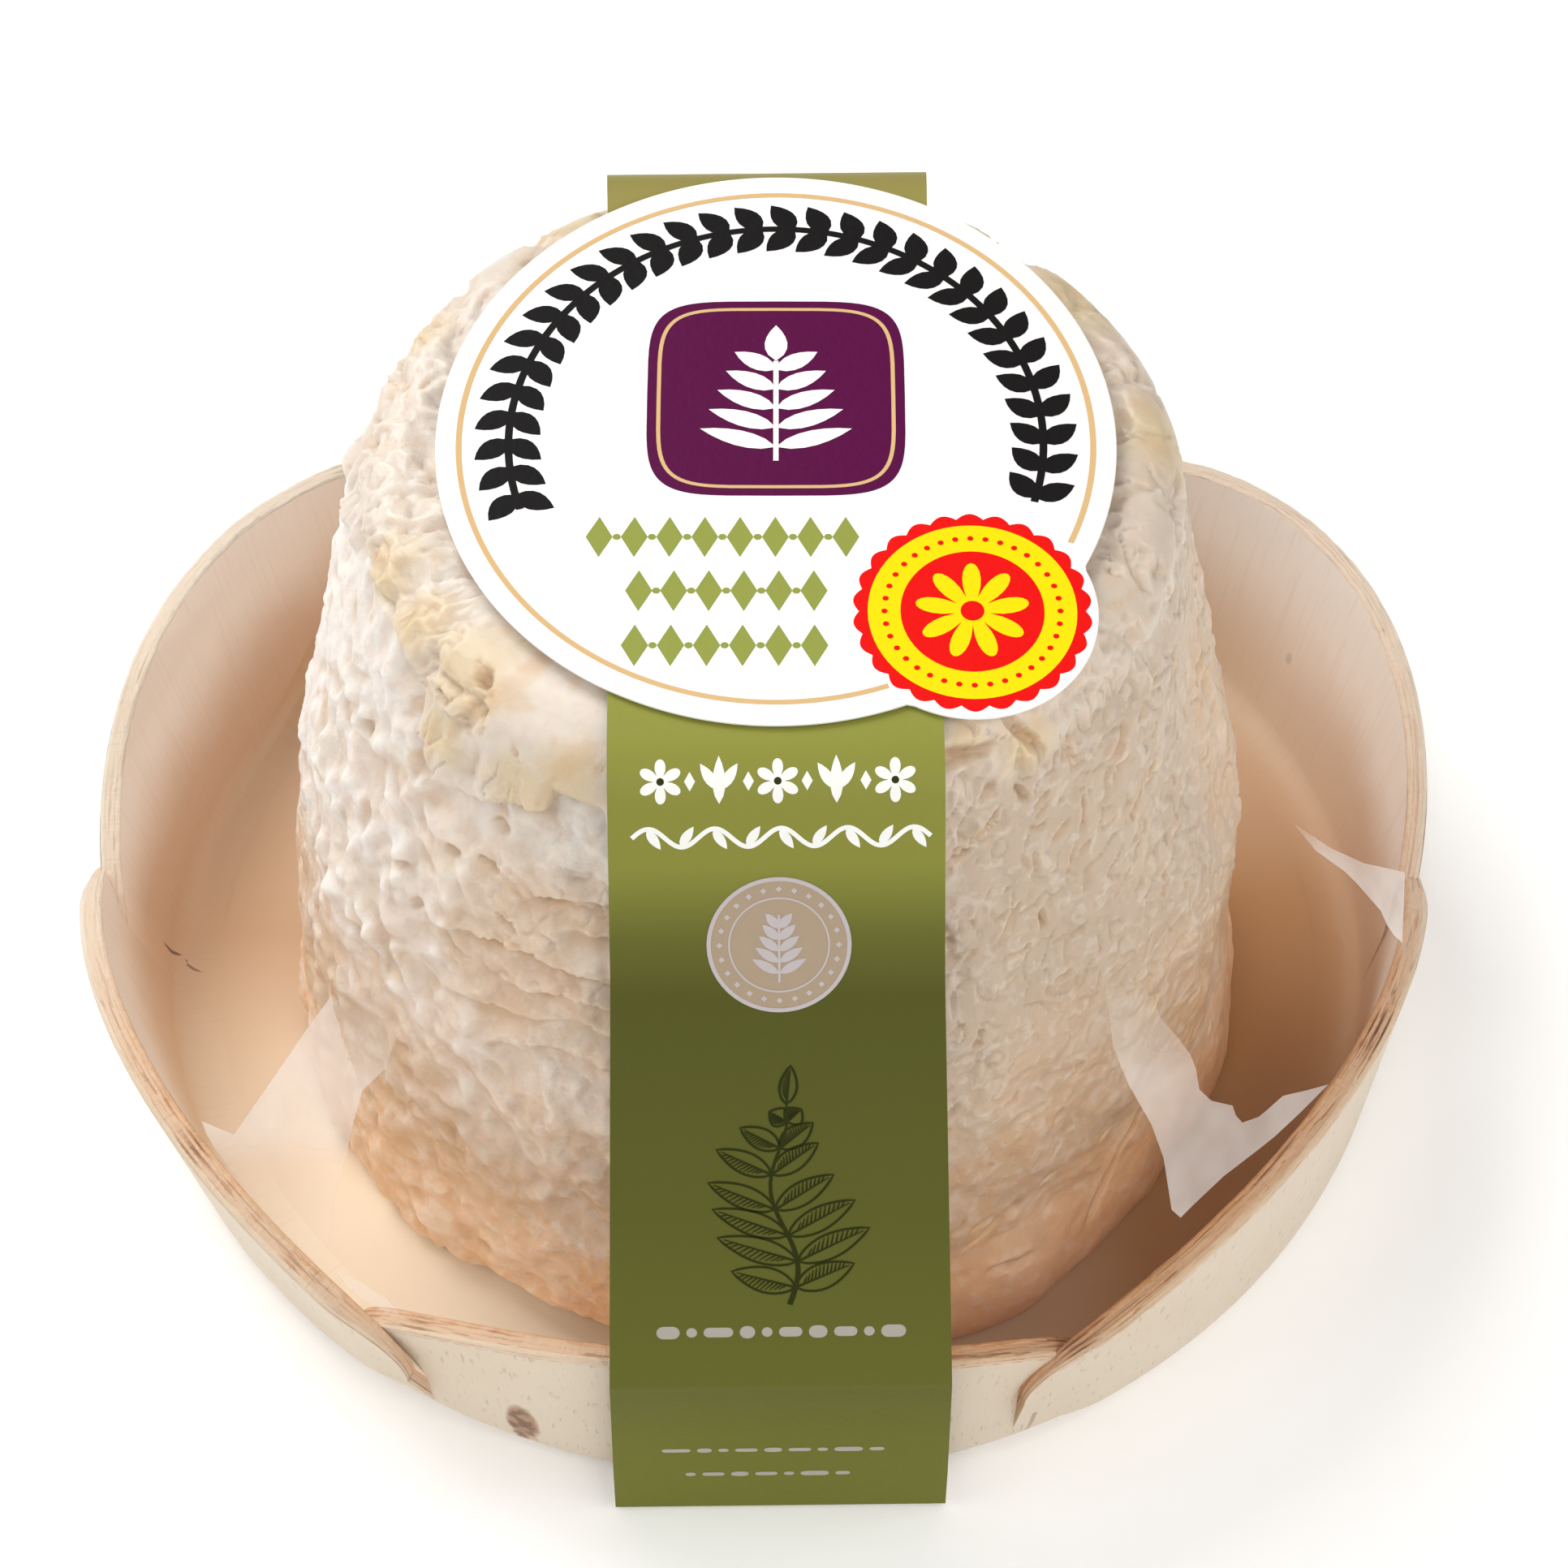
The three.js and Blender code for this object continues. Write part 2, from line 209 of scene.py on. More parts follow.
def piece(name, points, faces, materials, solid=None, carried=None, sharp=None, face_materials=None):
    mesh = bpy.data.meshes.new(name)
    mesh.from_pydata((np.asarray(points) * MM).tolist(), [], faces)
    for material in materials:
        mesh.materials.append(material)
    if face_materials is not None:
        mesh.polygons.foreach_set("material_index", face_materials)
    mesh.shade_smooth()
    if sharp is not None:
        mesh.set_sharp_from_angle(angle=math.radians(sharp))
    for word, values in (carried or {}).items():
        mesh.attributes.new(word, "FLOAT", "POINT").data.foreach_set("value", np.asarray(values, np.float32))
    made = put(name, mesh)
    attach(made, BODY)
    if solid:
        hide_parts(solid)
    print(f"{name}: {len(mesh.vertices)} points, {sum(len(p.vertices) - 2 for p in mesh.polygons)} triangles")


def grid_faces(rows, columns):
    """Quads over a grid of points stored row by row, whose last column is joined to its first."""
    faces = []
    for row in range(rows - 1):
        for column in range(columns):
            low = row * columns + column
            low_next = row * columns + (column + 1) % columns
            faces.append((low, low_next, low_next + columns, low + columns))
    return faces


def capped_grid(rows, columns):
    """The same quads, with the first row and the last each closed by one face."""
    last = (rows - 1) * columns
    caps = [tuple(reversed(range(columns))), tuple(range(last, last + columns))]
    return grid_faces(rows, columns) + caps


def smoothstep(value, low, high):
    """0 below low, 1 above high, and an even S between them."""
    share = np.clip((np.asarray(value, float) - low) / (high - low), 0, 1)
    return share * share * (3 - 2 * share)


def falloff(value, low, high):
    """1 below low, 0 above high."""
    return 1 - smoothstep(value, low, high)


def lerp(first, second, share):
    return first + (second - first) * share


def looked_up(table, azimuth):
    """The value at an azimuth, from a table of azimuths and values."""
    return np.interp(azimuth, *zip(*table), period=360)


def run_along(line):
    """Length along a line, up to each of its points."""
    steps = np.linalg.norm(np.diff(line, axis=0), axis=1)
    return np.concatenate([[0], np.cumsum(steps)])


def leaning(across, up, degrees):
    """How far a place lies along and beside a line that leans so many degrees from the level."""
    turn = math.radians(degrees)
    along = across * math.cos(turn) + up * math.sin(turn)
    return along, up * math.cos(turn) - across * math.sin(turn)


def cloud(points, size, shift):
    """Random cloud from about -1 to 1 at each point, with spots of about a size in millimetres."""
    scaled = (np.asarray(points).reshape(-1, 3) / size + shift).tolist()
    return np.array([noise.noise(point) for point in scaled])


def clouds(points, *layers):
    """A sum of clouds, each given by its strength, its size and its shift."""
    return sum(strength * cloud(points, size, shift) for strength, size, shift in layers)


def wander(points, size, shift, steps):
    """A cloud for each axis, by which a point may be led astray."""
    return np.stack([cloud(points, size, shift + step) for step in steps], axis=1)


TRAY_AXIS = (0.72, -0.60)


def polar(radius, azimuth, height):
    """Points at a radius from the tray's axis and an azimuth from the front, growing to the left."""
    angle = np.radians(azimuth)
    x = TRAY_AXIS[0] - radius * np.sin(angle)
    y = TRAY_AXIS[1] - radius * np.cos(angle)
    return np.stack(np.broadcast_arrays(x, y, height), axis=-1)


print("the tray's axis is at", TRAY_AXIS)

# %% [markdown]
# The camera stands where the photographer stood: in front of the pack, looking down at 51 degrees from
# 35 cm away, with a long lens. A long lens keeps the card's oval and the tray's round rim in proportion,
# which a wide one close up would not.

# %% Camera
PHOTO_SIZE = 1932
LENS_PIXELS = 6235
SENSOR = 36.0
CAMERA_ELEVATION = math.radians(51.2)
CAMERA_DISTANCE = 350.0
CAMERA_TARGET = Vector((1.88, -0.60, 22.25))
towards_camera = Vector((0, -math.cos(CAMERA_ELEVATION), math.sin(CAMERA_ELEVATION)))
camera_place = CAMERA_TARGET + CAMERA_DISTANCE * towards_camera

lens = bpy.data.cameras.new("camera")
lens.sensor_width = SENSOR
lens.lens = SENSOR * LENS_PIXELS / PHOTO_SIZE
lens.clip_start = 0.01
camera = put("camera", lens)
camera.location = camera_place * MM
camera.rotation_euler = (math.pi / 2 - CAMERA_ELEVATION, 0, 0)
bpy.context.scene.camera = camera


def sight(pixel):
    """The direction in which the camera sees a pixel of the photograph."""
    across = (pixel[0] - PHOTO_SIZE / 2) / LENS_PIXELS
    down = (pixel[1] - PHOTO_SIZE / 2) / LENS_PIXELS
    upwards = Vector((0, math.sin(CAMERA_ELEVATION), math.cos(CAMERA_ELEVATION)))
    return (-towards_camera + across * Vector((1, 0, 0)) - down * upwards).normalized()


print("camera at", tuple(round(value, 1) for value in camera_place), "mm, lens", round(lens.lens, 1), "mm")

# %% [markdown]
# Food on a white page is lit softly, from several sides at once. The photo's shading gives the lamps away:
# the cheese and the floor of the tray are brightest on the left, and the inside of the right wall lies in
# the cheese's shade. So two broad lamps stand on the left, the stronger one behind the pack, and three more
# fill in from the front and the right. The pale sheet under the pack glows a little, as a light table does,
# and the white room only keeps the darkest corners open.

# %% Light and floor
ROOM_LIGHT = 0.1
SOFTBOX_SIZE = 460
SOFTBOX_AIM = Vector((0, 0, 25))
SOFTBOXES = [
    # name, place in millimetres, watts
    ("left key", (-500, -160, 480), 1.35),
    ("back left", (-300, 350, 500), 3.6),
    ("front", (0, -500, 500), 1.3),
    ("right front", (350, -450, 450), 1.1),
    ("right", (500, -100, 450), 1.3),
]
HALF_FLOOR = 3000.0
FLOOR_DROP = 0.05
FLOOR_GLOW = 0.12

bpy.context.scene.view_settings.view_transform = "Standard"
world = bpy.data.worlds.new("white room")
world.use_nodes = True
world.node_tree.nodes["Background"].inputs["Color"].default_value = (1.0, 0.985, 0.965, 1.0)
world.node_tree.nodes["Background"].inputs["Strength"].default_value = ROOM_LIGHT
bpy.context.scene.world = world

for name, place, power in SOFTBOXES:
    light = bpy.data.lights.new(name, "AREA")
    light.size = SOFTBOX_SIZE * MM
    light.energy = power
    light.color = (1.0, 0.995, 0.985)
    lamp = put(name, light)
    lamp.location = Vector(place) * MM
    lamp.rotation_euler = (SOFTBOX_AIM - Vector(place)).to_track_quat("-Z", "Y").to_euler()

corners = [(x * HALF_FLOOR, y * HALF_FLOOR) for x, y in ((-1, -1), (1, -1), (1, 1), (-1, 1))]
sheet = bpy.data.meshes.new("floor")
sheet.from_pydata([(x * MM, y * MM, -FLOOR_DROP * MM) for x, y in corners], [], [(0, 1, 2, 3)])
floor = put("floor", sheet)
pale = Finish("pale sheet")
sheet_colour = pale.between(pale.noise(1.5, detail=3), (251, 250, 249), (255, 255, 255))
sheet.materials.append(pale.done(pale.surface(Base_Color=sheet_colour, Roughness=0.9,
                                              Emission_Color=sheet_colour, Emission_Strength=FLOOR_GLOW)))

# %% [markdown]
# The cheese was drained in a tall conical mould, so its side tapers up to a rounded top edge, and the whole
# leans back a little. A lathe would give the section. Here the same section is a grid of height and
# azimuth, so that relief can be added point by point. The grid is finer in front, where most of it shows.

# %% Section of the cheese
CHEESE_FOOT = 2.6
CHEESE_HEIGHT = 51.5
CHEESE_EDGE = 4.0
CHEESE_TOP_FLAT = 23.4
CHEESE_SIDE = [
    # radius, height above the cheese's foot
    (31.6, 0), (33.1, 1.6), (32.7, 8), (32.5, 16), (32.1, 23),
    (30.6, 31.5), (29.1, 38), (28, 44), (27.5, 46.5),
]
FOOT_FORWARD = 1.8
TOP_BACK = 1.3
SHOULDER = CHEESE_HEIGHT - CHEESE_EDGE
HUB = 0.3
BOTTOM_RADII = (HUB, 12, 22, 29, 30.8)
BOTTOM_ROWS = len(BOTTOM_RADII)
SIDE_ROWS, BEND_ROWS, TOP_ROWS = 206, 26, 19
SIDE_STEPS = 24


def smooth_line(points, steps):
    """A smooth line through all the points, with a number of steps between each two."""
    p = np.array([points[0], *points, points[-1]], float)
    line = []
    for k in range(1, len(p) - 2):
        for t in np.arange(steps) / steps:
            a = 2 * p[k]
            b = (p[k + 1] - p[k - 1]) * t
            c = (2 * p[k - 1] - 5 * p[k] + 4 * p[k + 1] - p[k + 2]) * t ** 2
            d = (3 * p[k] - p[k - 1] - 3 * p[k + 1] + p[k + 2]) * t ** 3
            line.append((a + b + c + d) / 2)
    return np.array([*line, p[-1]])


def evenly(line, count):
    """Points spaced evenly along a line."""
    along = run_along(line)
    places = np.linspace(0, along[-1], count)
    return np.stack([np.interp(places, along, line[:, axis]) for axis in range(line.shape[1])], axis=1)


def cheese_section():
    """Radius and height of the cheese's outline, from the middle of its foot to the middle of its top."""
    bottom = [(radius, 0) for radius in BOTTOM_RADII]
    side = evenly(smooth_line(CHEESE_SIDE, SIDE_STEPS), SIDE_ROWS)
    turns = np.radians(np.linspace(0, 90, BEND_ROWS + 1)[1:])
    bend_radius = CHEESE_TOP_FLAT + CHEESE_EDGE * np.cos(turns)
    bend = np.stack([bend_radius, SHOULDER + CHEESE_EDGE * np.sin(turns)], axis=1)
    to_middle = np.linspace(0, 1, TOP_ROWS)[1:] ** 2
    top = [(radius, CHEESE_HEIGHT) for radius in lerp(CHEESE_TOP_FLAT, HUB, to_middle)]
    return np.concatenate([bottom, side, bend, top])


section = cheese_section()
print("rows in the section:", len(section))

# %% [markdown]
# A fresh rind is a soft skin that has shrunk on the curd. On the left the grains of curd stand out, run
# together in clumps, with pits between them. Near the band the skin lies in a few flat folds, below them it
# is drawn out in slanting streaks, and on the right it is smooth, with fine curls and short slits. Under the
# top edge a thick lip folds over a hollow. Each of these is one function that gives a height in millimetres,
# and a table of regions says where it counts. The grains are round lumps of two sizes that merge where they
# touch. Nets of soft ridges lie over them, and their holes are the pits, because lumps alone look like
# pebbles. The last number given to a field only shifts it, so that no two fields are alike.

# %% Relief of the rind
LIP_EDGE = [
    # azimuth, height of the lip's lower edge above the cheese's foot
    (-150, 46.6), (-95, 48.4), (-62, 47.8), (-38, 46.8), (-20, 47.4), (21, 46.7), (28, 46.8), (31, 45.2),
    (39, 44.6), (46, 43.3), (49, 44.7), (52, 45.4), (55, 48.2), (62, 49.6), (70, 49.6), (77, 48.8),
    (83, 46.6), (96, 45.4), (130, 46.6),
]
FOLD_START = 20.0
FOLDS = [
    # height beside the band, azimuth of the far end, how far it drops on the way, depth
    (41.4, 28, 0.6, 0.5), (39.7, 33, 1.8, 0.9), (37.6, 27, 0.8, 0.6), (34.6, 47, 2.4, 1.3),
    (32.4, 39, 2.3, 0.9), (30.4, 44, 3.0, 0.7), (27.6, 35, 2.2, 0.5),
]
REGIONS = {
    # name: azimuth of the middle, spread to either side, heights where it fades in and where it fades out
    "lumpy": (80, 68, None, None),
    "bloomed_and_lit": (72, 100, None, None),
    "calm": (92, 44, None, None),
    "blobby": (40, 44, None, (38, 46)),
    "streaked": (36, 50, None, (20, 29)),
    "lipped": (34, 36, None, None),
    "folded": (16, 30, (23, 28), (38, 42)),
    "bulged": (-17, 24, None, (2, 9)),
    "smooth": (-52, 66, None, None),
    "ridged": (-82, 30, (6, 14), (36, 44)),
    "tanned": (-92, 26, None, (36, 46)),
}
LIP_RISE = 0.8
HOLLOW_DEPTH, HOLLOW_REACH = 1.35, 2.6
LIP_HANG, HANG_REACH = 0.7, 1.4
FOOT_LIFT = {"azimuth": 27, "spread": 13, "height": 1.5, "reach": 4, "from": 27, "to": 32}
PRESSED_SLOPE = 0.5
MEAN_RADIUS = 30.0


def turn_from(azimuth, middle):
    """Degrees from a middle to an azimuth, the shorter way round."""
    return (azimuth - middle + 180) % 360 - 180


def region(name, azimuth, height):
    """How far each point lies in a region, from 0 to 1."""
    middle, spread, fade_in, fade_out = REGIONS[name]
    inside = falloff(np.abs(turn_from(azimuth, middle)), 0.55 * spread, spread)
    if fade_in:
        inside = inside * smoothstep(height, *fade_in)
    if fade_out:
        inside = inside * falloff(height, *fade_out)
    return inside


def lip_relief(azimuth, height, nicks):
    """The lip's relief, the hollow under it, and how far its edge hangs down over the hollow."""
    strength = lerp(0.22, 1.0, region("lipped", azimuth, height))
    over = height - looked_up(LIP_EDGE, azimuth) - nicks
    above = smoothstep(over, -0.3, 0.3)
    hollow = (1 - above) * np.exp(-(over / HOLLOW_REACH) ** 2)
    hang = above * np.exp(-(over / HANG_REACH) ** 2)
    relief = strength * (LIP_RISE * above - HOLLOW_DEPTH * hollow)
    return relief, strength * hollow, LIP_HANG * strength * hang


def lumps(points, size, shift):
    """Round lumps of uneven size that run together, and the seams between them."""
    astray = 0.7 * size * wander(points, 1.6 * size, shift, (5.2, 9.4, 2.7))
    moved = (points * (1, 1, 0.8) + astray) / size + shift
    found = [noise.voronoi(place) for place in moved.tolist()]
    near = np.array([distances for distances, _ in found])
    weight = np.array([[0.75 + 1.2 * noise.noise(spot * 3.1) for spot in middles] for _, middles in found])
    merged = (weight * np.exp(-4.0 * near ** 2)).sum(axis=1)
    return merged, falloff(near[:, 1] - near[:, 0], 0.0, 0.35)


def nets(points, size, shift):
    """Soft ridges that join in a net, and how deep in one of its holes a point lies."""
    astray = 0.35 * size * wander(points, 0.8 * size, shift, (4.1, 7.3, 1.9))
    height = np.abs(cloud(points + astray, size, shift))
    return falloff(height, 0.0, 0.32), smoothstep(height, 0.26, 0.5)


def curls(points, size, width, shift):
    """Thin closed lines: the places where a cloud changes its sign."""
    return falloff(np.abs(cloud(points, size, shift)), 0.25 * width, width)


def streaks(azimuth, height, lean, length, width, shift):
    """Cloud drawn out along a leaning line, on the cheese's side."""
    along, beside = leaning(np.radians(azimuth) * MEAN_RADIUS, height, lean)
    return cloud(np.stack([along / length, beside / width, np.zeros_like(along)], axis=1), 1.0, shift)


def fold_field(azimuth, height, points):
    """Thin folds of skin: each stands proud above its edge and falls back under it. The shade it also gives
    is painted into the rind's colour under each fold.
    """
    relief, shade = np.zeros_like(height), np.zeros_like(height)
    wave = clouds(points, (0.9, 4.6, 4.4), (0.35, 1.7, 8.8))
    broken = 0.75 + 0.9 * cloud(points, 3.4, 17.0)
    for level, end, drop, depth in FOLDS:
        share = (azimuth - FOLD_START) / (end - FOLD_START)
        over = height - (level - drop * share + wave)
        deep = depth * (smoothstep(azimuth, 0, 12) * falloff(share, 0.6, 1.05) * broken)
        under = falloff(over, -0.15, 0.15) * falloff(-over, 0.2, 2.2)
        brow = smoothstep(over, -0.15, 0.1) * np.exp(-np.maximum(over, 0) / 0.8)
        relief += deep * (0.35 * brow - under)
        shade = np.maximum(shade, deep * under * falloff(-over, 0.3, 1.7))
    return relief, shade


print("the lip's edge beside the band is", float(looked_up(LIP_EDGE, 21.0)), "mm up")

# %% [markdown]
# The slits on the right are torn where the skin was stretched, and most of them lean the same way. They are
# placed by a seeded draw, so that every run gives the same cheese. The ones that stand out are listed one by
# one.

# %% Slits and tears
SLIT_SEED = 11
SLIT_COUNT = 120
SLIT_SPANS = [
    # lowest and highest azimuth, height, length and width
    (-86, -12), (6, 47), (0.6, 1.8), (0.3, 0.6),
]
SLIT_LEAN, SLIT_LEAN_SPREAD = 38, 26
SLIT_DEPTHS = (0.15, 0.5)
TEARS = [
    # azimuth, height, length, width, lean in degrees, depth
    (-27.0, 50.1, 5.2, 1.0, -6, 1.1), (-37.6, 49.2, 4.6, 0.95, -58, 1.1), (-53.0, 43.6, 2.6, 0.9, 52, 0.6),
    (-35.7, 45.1, 1.8, 0.5, -62, 0.7), (-55.6, 38.4, 3.4, 0.8, 38, 0.7), (-58.9, 38.8, 1.3, 0.8, 60, 0.6),
    (-45.0, 40.6, 2.6, 0.45, 78, 0.7), (-29.6, 44.0, 2.8, 0.6, 34, 0.6), (-25.2, 42.6, 2.4, 0.6, 6, 0.7),
    (-37.9, 41.7, 1.1, 0.6, 8, 0.6), (-53.4, 34.8, 0.9, 0.7, 0, 0.5), (-57.2, 31.0, 1.0, 0.6, 0, 0.5),
    (-49.4, 33.5, 2.2, 0.5, 42, 0.5), (-36.4, 34.9, 1.3, 0.8, 84, 0.8), (-32.4, 33.4, 1.9, 0.6, 0, 0.7),
    (-31.6, 36.0, 3.0, 0.5, 42, 0.45), (-41.7, 32.3, 1.2, 0.6, 20, 0.45), (-51.0, 25.4, 4.6, 0.4, 58, 0.5),
    (-38.4, 29.7, 1.2, 0.45, 4, 0.4), (-33.0, 19.6, 2.8, 0.4, 2, 0.4), (-46.6, 7.4, 8.0, 0.8, 50, 1.0),
    (-30.6, 10.5, 1.2, 1.0, 30, 0.4), (-29.6, 5.6, 3.4, 0.8, -6, 0.5), (-26.0, 9.8, 3.0, 0.5, 34, 0.4),
    (41.3, 50.8, 1.2, 0.7, 30, 0.4), (49.1, 48.9, 1.6, 0.5, -12, 0.5), (35.2, 49.1, 1.3, 0.6, -50, 0.4),
    (22.7, 49.9, 1.2, 0.6, 60, 0.4), (64.3, 39.9, 1.9, 1.3, 40, 0.8), (37.0, 42.0, 1.6, 0.8, 0, 0.5),
    (43.2, 38.4, 1.5, 0.8, 20, 0.5), (37.3, 39.3, 1.8, 0.6, -20, 0.5), (52.5, 33.7, 1.7, 0.9, 60, 0.5),
    (48.4, 32.1, 1.6, 0.8, 50, 0.45), (42.3, 30.8, 2.2, 0.9, -20, 0.5), (67.2, 25.6, 1.6, 0.8, 60, 0.45),
    (57.9, 25.4, 2.0, 0.9, -50, 0.6), (34.0, 35.4, 1.8, 0.7, -30, 0.45), (36.0, 4.2, 1.6, 1.0, 10, 0.5),
    (42.0, 49.8, 7.0, 1.8, 53, 0.5), (43.0, 50.9, 3.4, 0.6, -12, 0.8), (29.5, 47.6, 2.6, 0.7, 64, 0.6),
]


def slit_list():
    """The small slits, given as the tears are."""
    draw = np.random.default_rng(SLIT_SEED)
    slits = []
    for _ in range(SLIT_COUNT):
        place_and_size = [draw.uniform(*span) for span in SLIT_SPANS]
        slits.append((*place_and_size, draw.normal(SLIT_LEAN, SLIT_LEAN_SPREAD), draw.uniform(*SLIT_DEPTHS)))
    return slits


def slit_field(azimuth, height, radius, points):
    """Depth of all slits, the skin that curls up beside them, and how far inside a deep one a point lies."""
    depth, curled, inside = (np.zeros_like(height) for _ in range(3))
    bend = 0.35 * cloud(points, 1.6, 3.3)
    for middle, level, length, width, lean, deep in [*TEARS, *slit_list()]:
        across = np.radians(middle - azimuth) * radius
        up = height - level
        near = np.nonzero((np.abs(across) < length) & (np.abs(up) < length))[0]
        along, beside = leaning(across[near], up[near], lean)
        beside = beside + bend[near] * width
        share = falloff((2 * along / length) ** 2 + (2 * beside / width) ** 2, 0.2, 1.5)
        brow = np.exp(-(2 * along / length) ** 2 - (2.6 * beside / width - 2.2) ** 2)
        depth[near] = np.maximum(depth[near], deep * share)
        curled[near] = np.maximum(curled[near], deep * brow)
        inside[near] = np.maximum(inside[near], share * min(1, 1.5 * deep))
    return depth, curled, inside


print("slits and tears:", SLIT_COUNT + len(TEARS))

# %% [markdown]
# Now the grid is filled in: a point of the section, pushed out along its normal by the sum of the reliefs.
# The same sums also make the numbers that the shader reads, so that pits are tan because they are deep:
# partly the rind's own tan and partly painted shade. The number in front of a field is its height in
# millimetres, or the share of it that counts.

# %% The cheese's mesh
FRONT_COLUMNS = 560
BACK_COLUMNS = 130
FRONT_FROM, FRONT_TO = -100.0, 118.0
CLUMP_SIZE = 3.0
GRAIN_SIZE = 1.5
SWELL_SIZE = 4.6
WIDE_NET_SIZE, NET_SIZE, THREAD_SIZE = 4.6, 2.3, 1.4
LEAST_CLUMP, MOST_CLUMP = 0.24, 0.42
YELLOW_PATCHES = [
    # azimuth, height, radius of a patch where the lip is waxy and yellow
    (71, 50.4, 3.4), (60, 50.9, 3.0), (47, 50.9, 4.2), (47, 46.6, 2.2), (34, 46.5, 2.6), (27, 48.6, 2.8),
    (-37, 48.4, 2.2), (-29, 50.5, 1.6), (-96, 50.3, 3.6), (-128, 50.6, 4.2), (150, 50.4, 4.0),
    (118, 50.2, 2.6),
]


def cheese_azimuths():
    front = np.linspace(FRONT_FROM, FRONT_TO, FRONT_COLUMNS, endpoint=False)
    back = np.linspace(FRONT_TO, FRONT_FROM + 360, BACK_COLUMNS, endpoint=False)
    return np.concatenate([front, back])[::-1]


def yellow_field(points):
    """1 inside the waxy patches, whose edges wander."""
    edge = clouds(points, (0.3, 3.0, 41.0), (0.12, 0.9, 43.0))
    radii, heights = section[BOTTOM_ROWS:1 - TOP_ROWS].T
    found = np.zeros(len(points))
    for azimuth, height, reach in YELLOW_PATCHES:
        middle = polar(np.interp(height, heights, radii), azimuth, height)
        away = np.linalg.norm(points - middle, axis=1) / reach
        found = np.maximum(found, falloff(away + edge, 0.3, 1.3))
    return found


def rind_relief(azimuth, height, radius, points):
    """The rind's relief in millimetres, how far its lip hangs, and the numbers for its shader."""
    where = {name: region(name, azimuth, height) for name in REGIONS}
    lumpy, blobby, streaked = where["lumpy"], where["blobby"], where["streaked"]
    folded, smooth_side = where["folded"], where["smooth"]
    low = np.maximum(falloff(height + 4 * cloud(points, 6.0, 23.0), 11, 31), 0.4 * folded)
    low = np.maximum(low, 0.45 * where["tanned"])
    patchy = smoothstep(cloud(points, 4.5, 21.0), -0.45, 0.35)
    broad = clouds(points, (0.6, 9.0, 3.1), (0.35, 4.6, 7.7))
    lip, hollow, hang = lip_relief(azimuth, height, 0.8 * cloud(points, 2.6, 6.6))
    edge = looked_up(LIP_EDGE, azimuth)
    on_lip = smoothstep(height, edge - 0.8, edge + 0.3)
    fold, shade = fold_field(azimuth, height, points)
    slit, curled, torn = slit_field(azimuth, height, radius, points)
    relief = broad + lip + fold + 0.3 * curled - slit

    clump, crease = lumps(points, CLUMP_SIZE, 1.3)
    grain, _ = lumps(points, GRAIN_SIZE, 7.1)
    wide_net, wide_hole = nets(points, WIDE_NET_SIZE, 31.0)
    net, hole = nets(points, NET_SIZE, 33.0)
    curd = np.maximum(lumpy, 0.5) * (1 - 0.85 * smooth_side) * (1 - 0.55 * folded) * (1 - 0.35 * streaked)
    curd *= 1 - 0.8 * on_lip
    pits = patchy * hole + 0.7 * wide_hole * (1 - patchy)
    grainy = lerp(0.12, 0.55, blobby)
    clumpy = lerp(MOST_CLUMP, LEAST_CLUMP, where["calm"])
    relief += curd * (clumpy * clump + grainy * grain + 0.26 * wide_net + 0.14 * net - 0.26 * pits - 0.4)

    swollen, seam = lumps(points, SWELL_SIZE, 14.2)
    thread, gap = nets(points, THREAD_SIZE, 37.0)
    seam = seam * smoothstep(cloud(points, 3.7, 61.0), -0.15, 0.3)
    relief += on_lip * (0.8 * swollen - 0.5 * seam + 0.16 * thread + 0.2 * net - 0.2 * hole * patchy - 0.5)

    drawn = streaks(azimuth, height, 48, 7.0, 1.5, 2.0) + 0.6 * streaks(azimuth, height, 42, 3.0, 0.8, 6.0)
    upright = streaks(azimuth, height, 84, 12.0, 1.5, 9.0)
    bare = (1 - curd) * smoothstep(height, 12, 26)
    curl = curls(points, 1.6, 0.12, 52.0) * bare * smoothstep(cloud(points, 3.0, 55.0), -0.25, 0.1)
    curly = smooth_side * smoothstep(cloud(points, 3.4, 71.0), 0.0, 0.4) * smoothstep(height, 10, 20)
    slack = clouds(points, (0.2, 2.4, 12.0), (0.12, 1.1, 15.0), (0.06, 0.6, 18.0))
    slack *= (1 + 0.4 * blobby) * (clumpy / MOST_CLUMP) * (1 - 0.35 * smooth_side * falloff(height, 10, 24))
    relief += 0.28 * drawn * streaked + 0.45 * upright * where["ridged"] + slack - 0.28 * curl
    relief += curly * (0.1 * thread - 0.08 * gap)
    relief += 1.3 * where["bulged"]
    relief -= lerp(0.3, 0.75, lumpy) * smoothstep(height, 44.5, 48.5)
    room = np.maximum(0, PRESSED_SLOPE * (SHOULDER - height))

    deep = (0.8 * pits + 0.9 * blobby * (0.8 - grain)) * curd
    # These numbers also paint light: pits, slits, creases and fold undersides are painted darker as shade,
    # and crests lighter as a highlight.
    carried = {
        "pit": np.clip(torn + deep + shade + 0.4 * on_lip * hole, 0, 1),
        "crease": np.clip(0.3 * crease * patchy * curd + 0.6 * seam * on_lip + 0.9 * curl, 0, 1),
        "lip": on_lip,
        "crest": curd * smoothstep(clump + 1.6 * grainy * grain, 1.0, 1.7) + 0.3 * curly * thread,
        "hollow": np.clip(hollow, 0, 1),
        "yellow": yellow_field(points),
        "left": where["bloomed_and_lit"],
        "low": low,
        "drawn": np.clip(0.5 + drawn, 0, 1) * streaked,
        "folded": folded,
        "foot": falloff(height + 3 * cloud(points, 5.0, 81.0), 2, 13) * (1 - 0.6 * lumpy),
        "rough": np.clip(curd + 0.55 - 0.3 * on_lip + 0.3 * streaked, 0, 1),
    }
    return np.minimum(relief, room), hang, carried


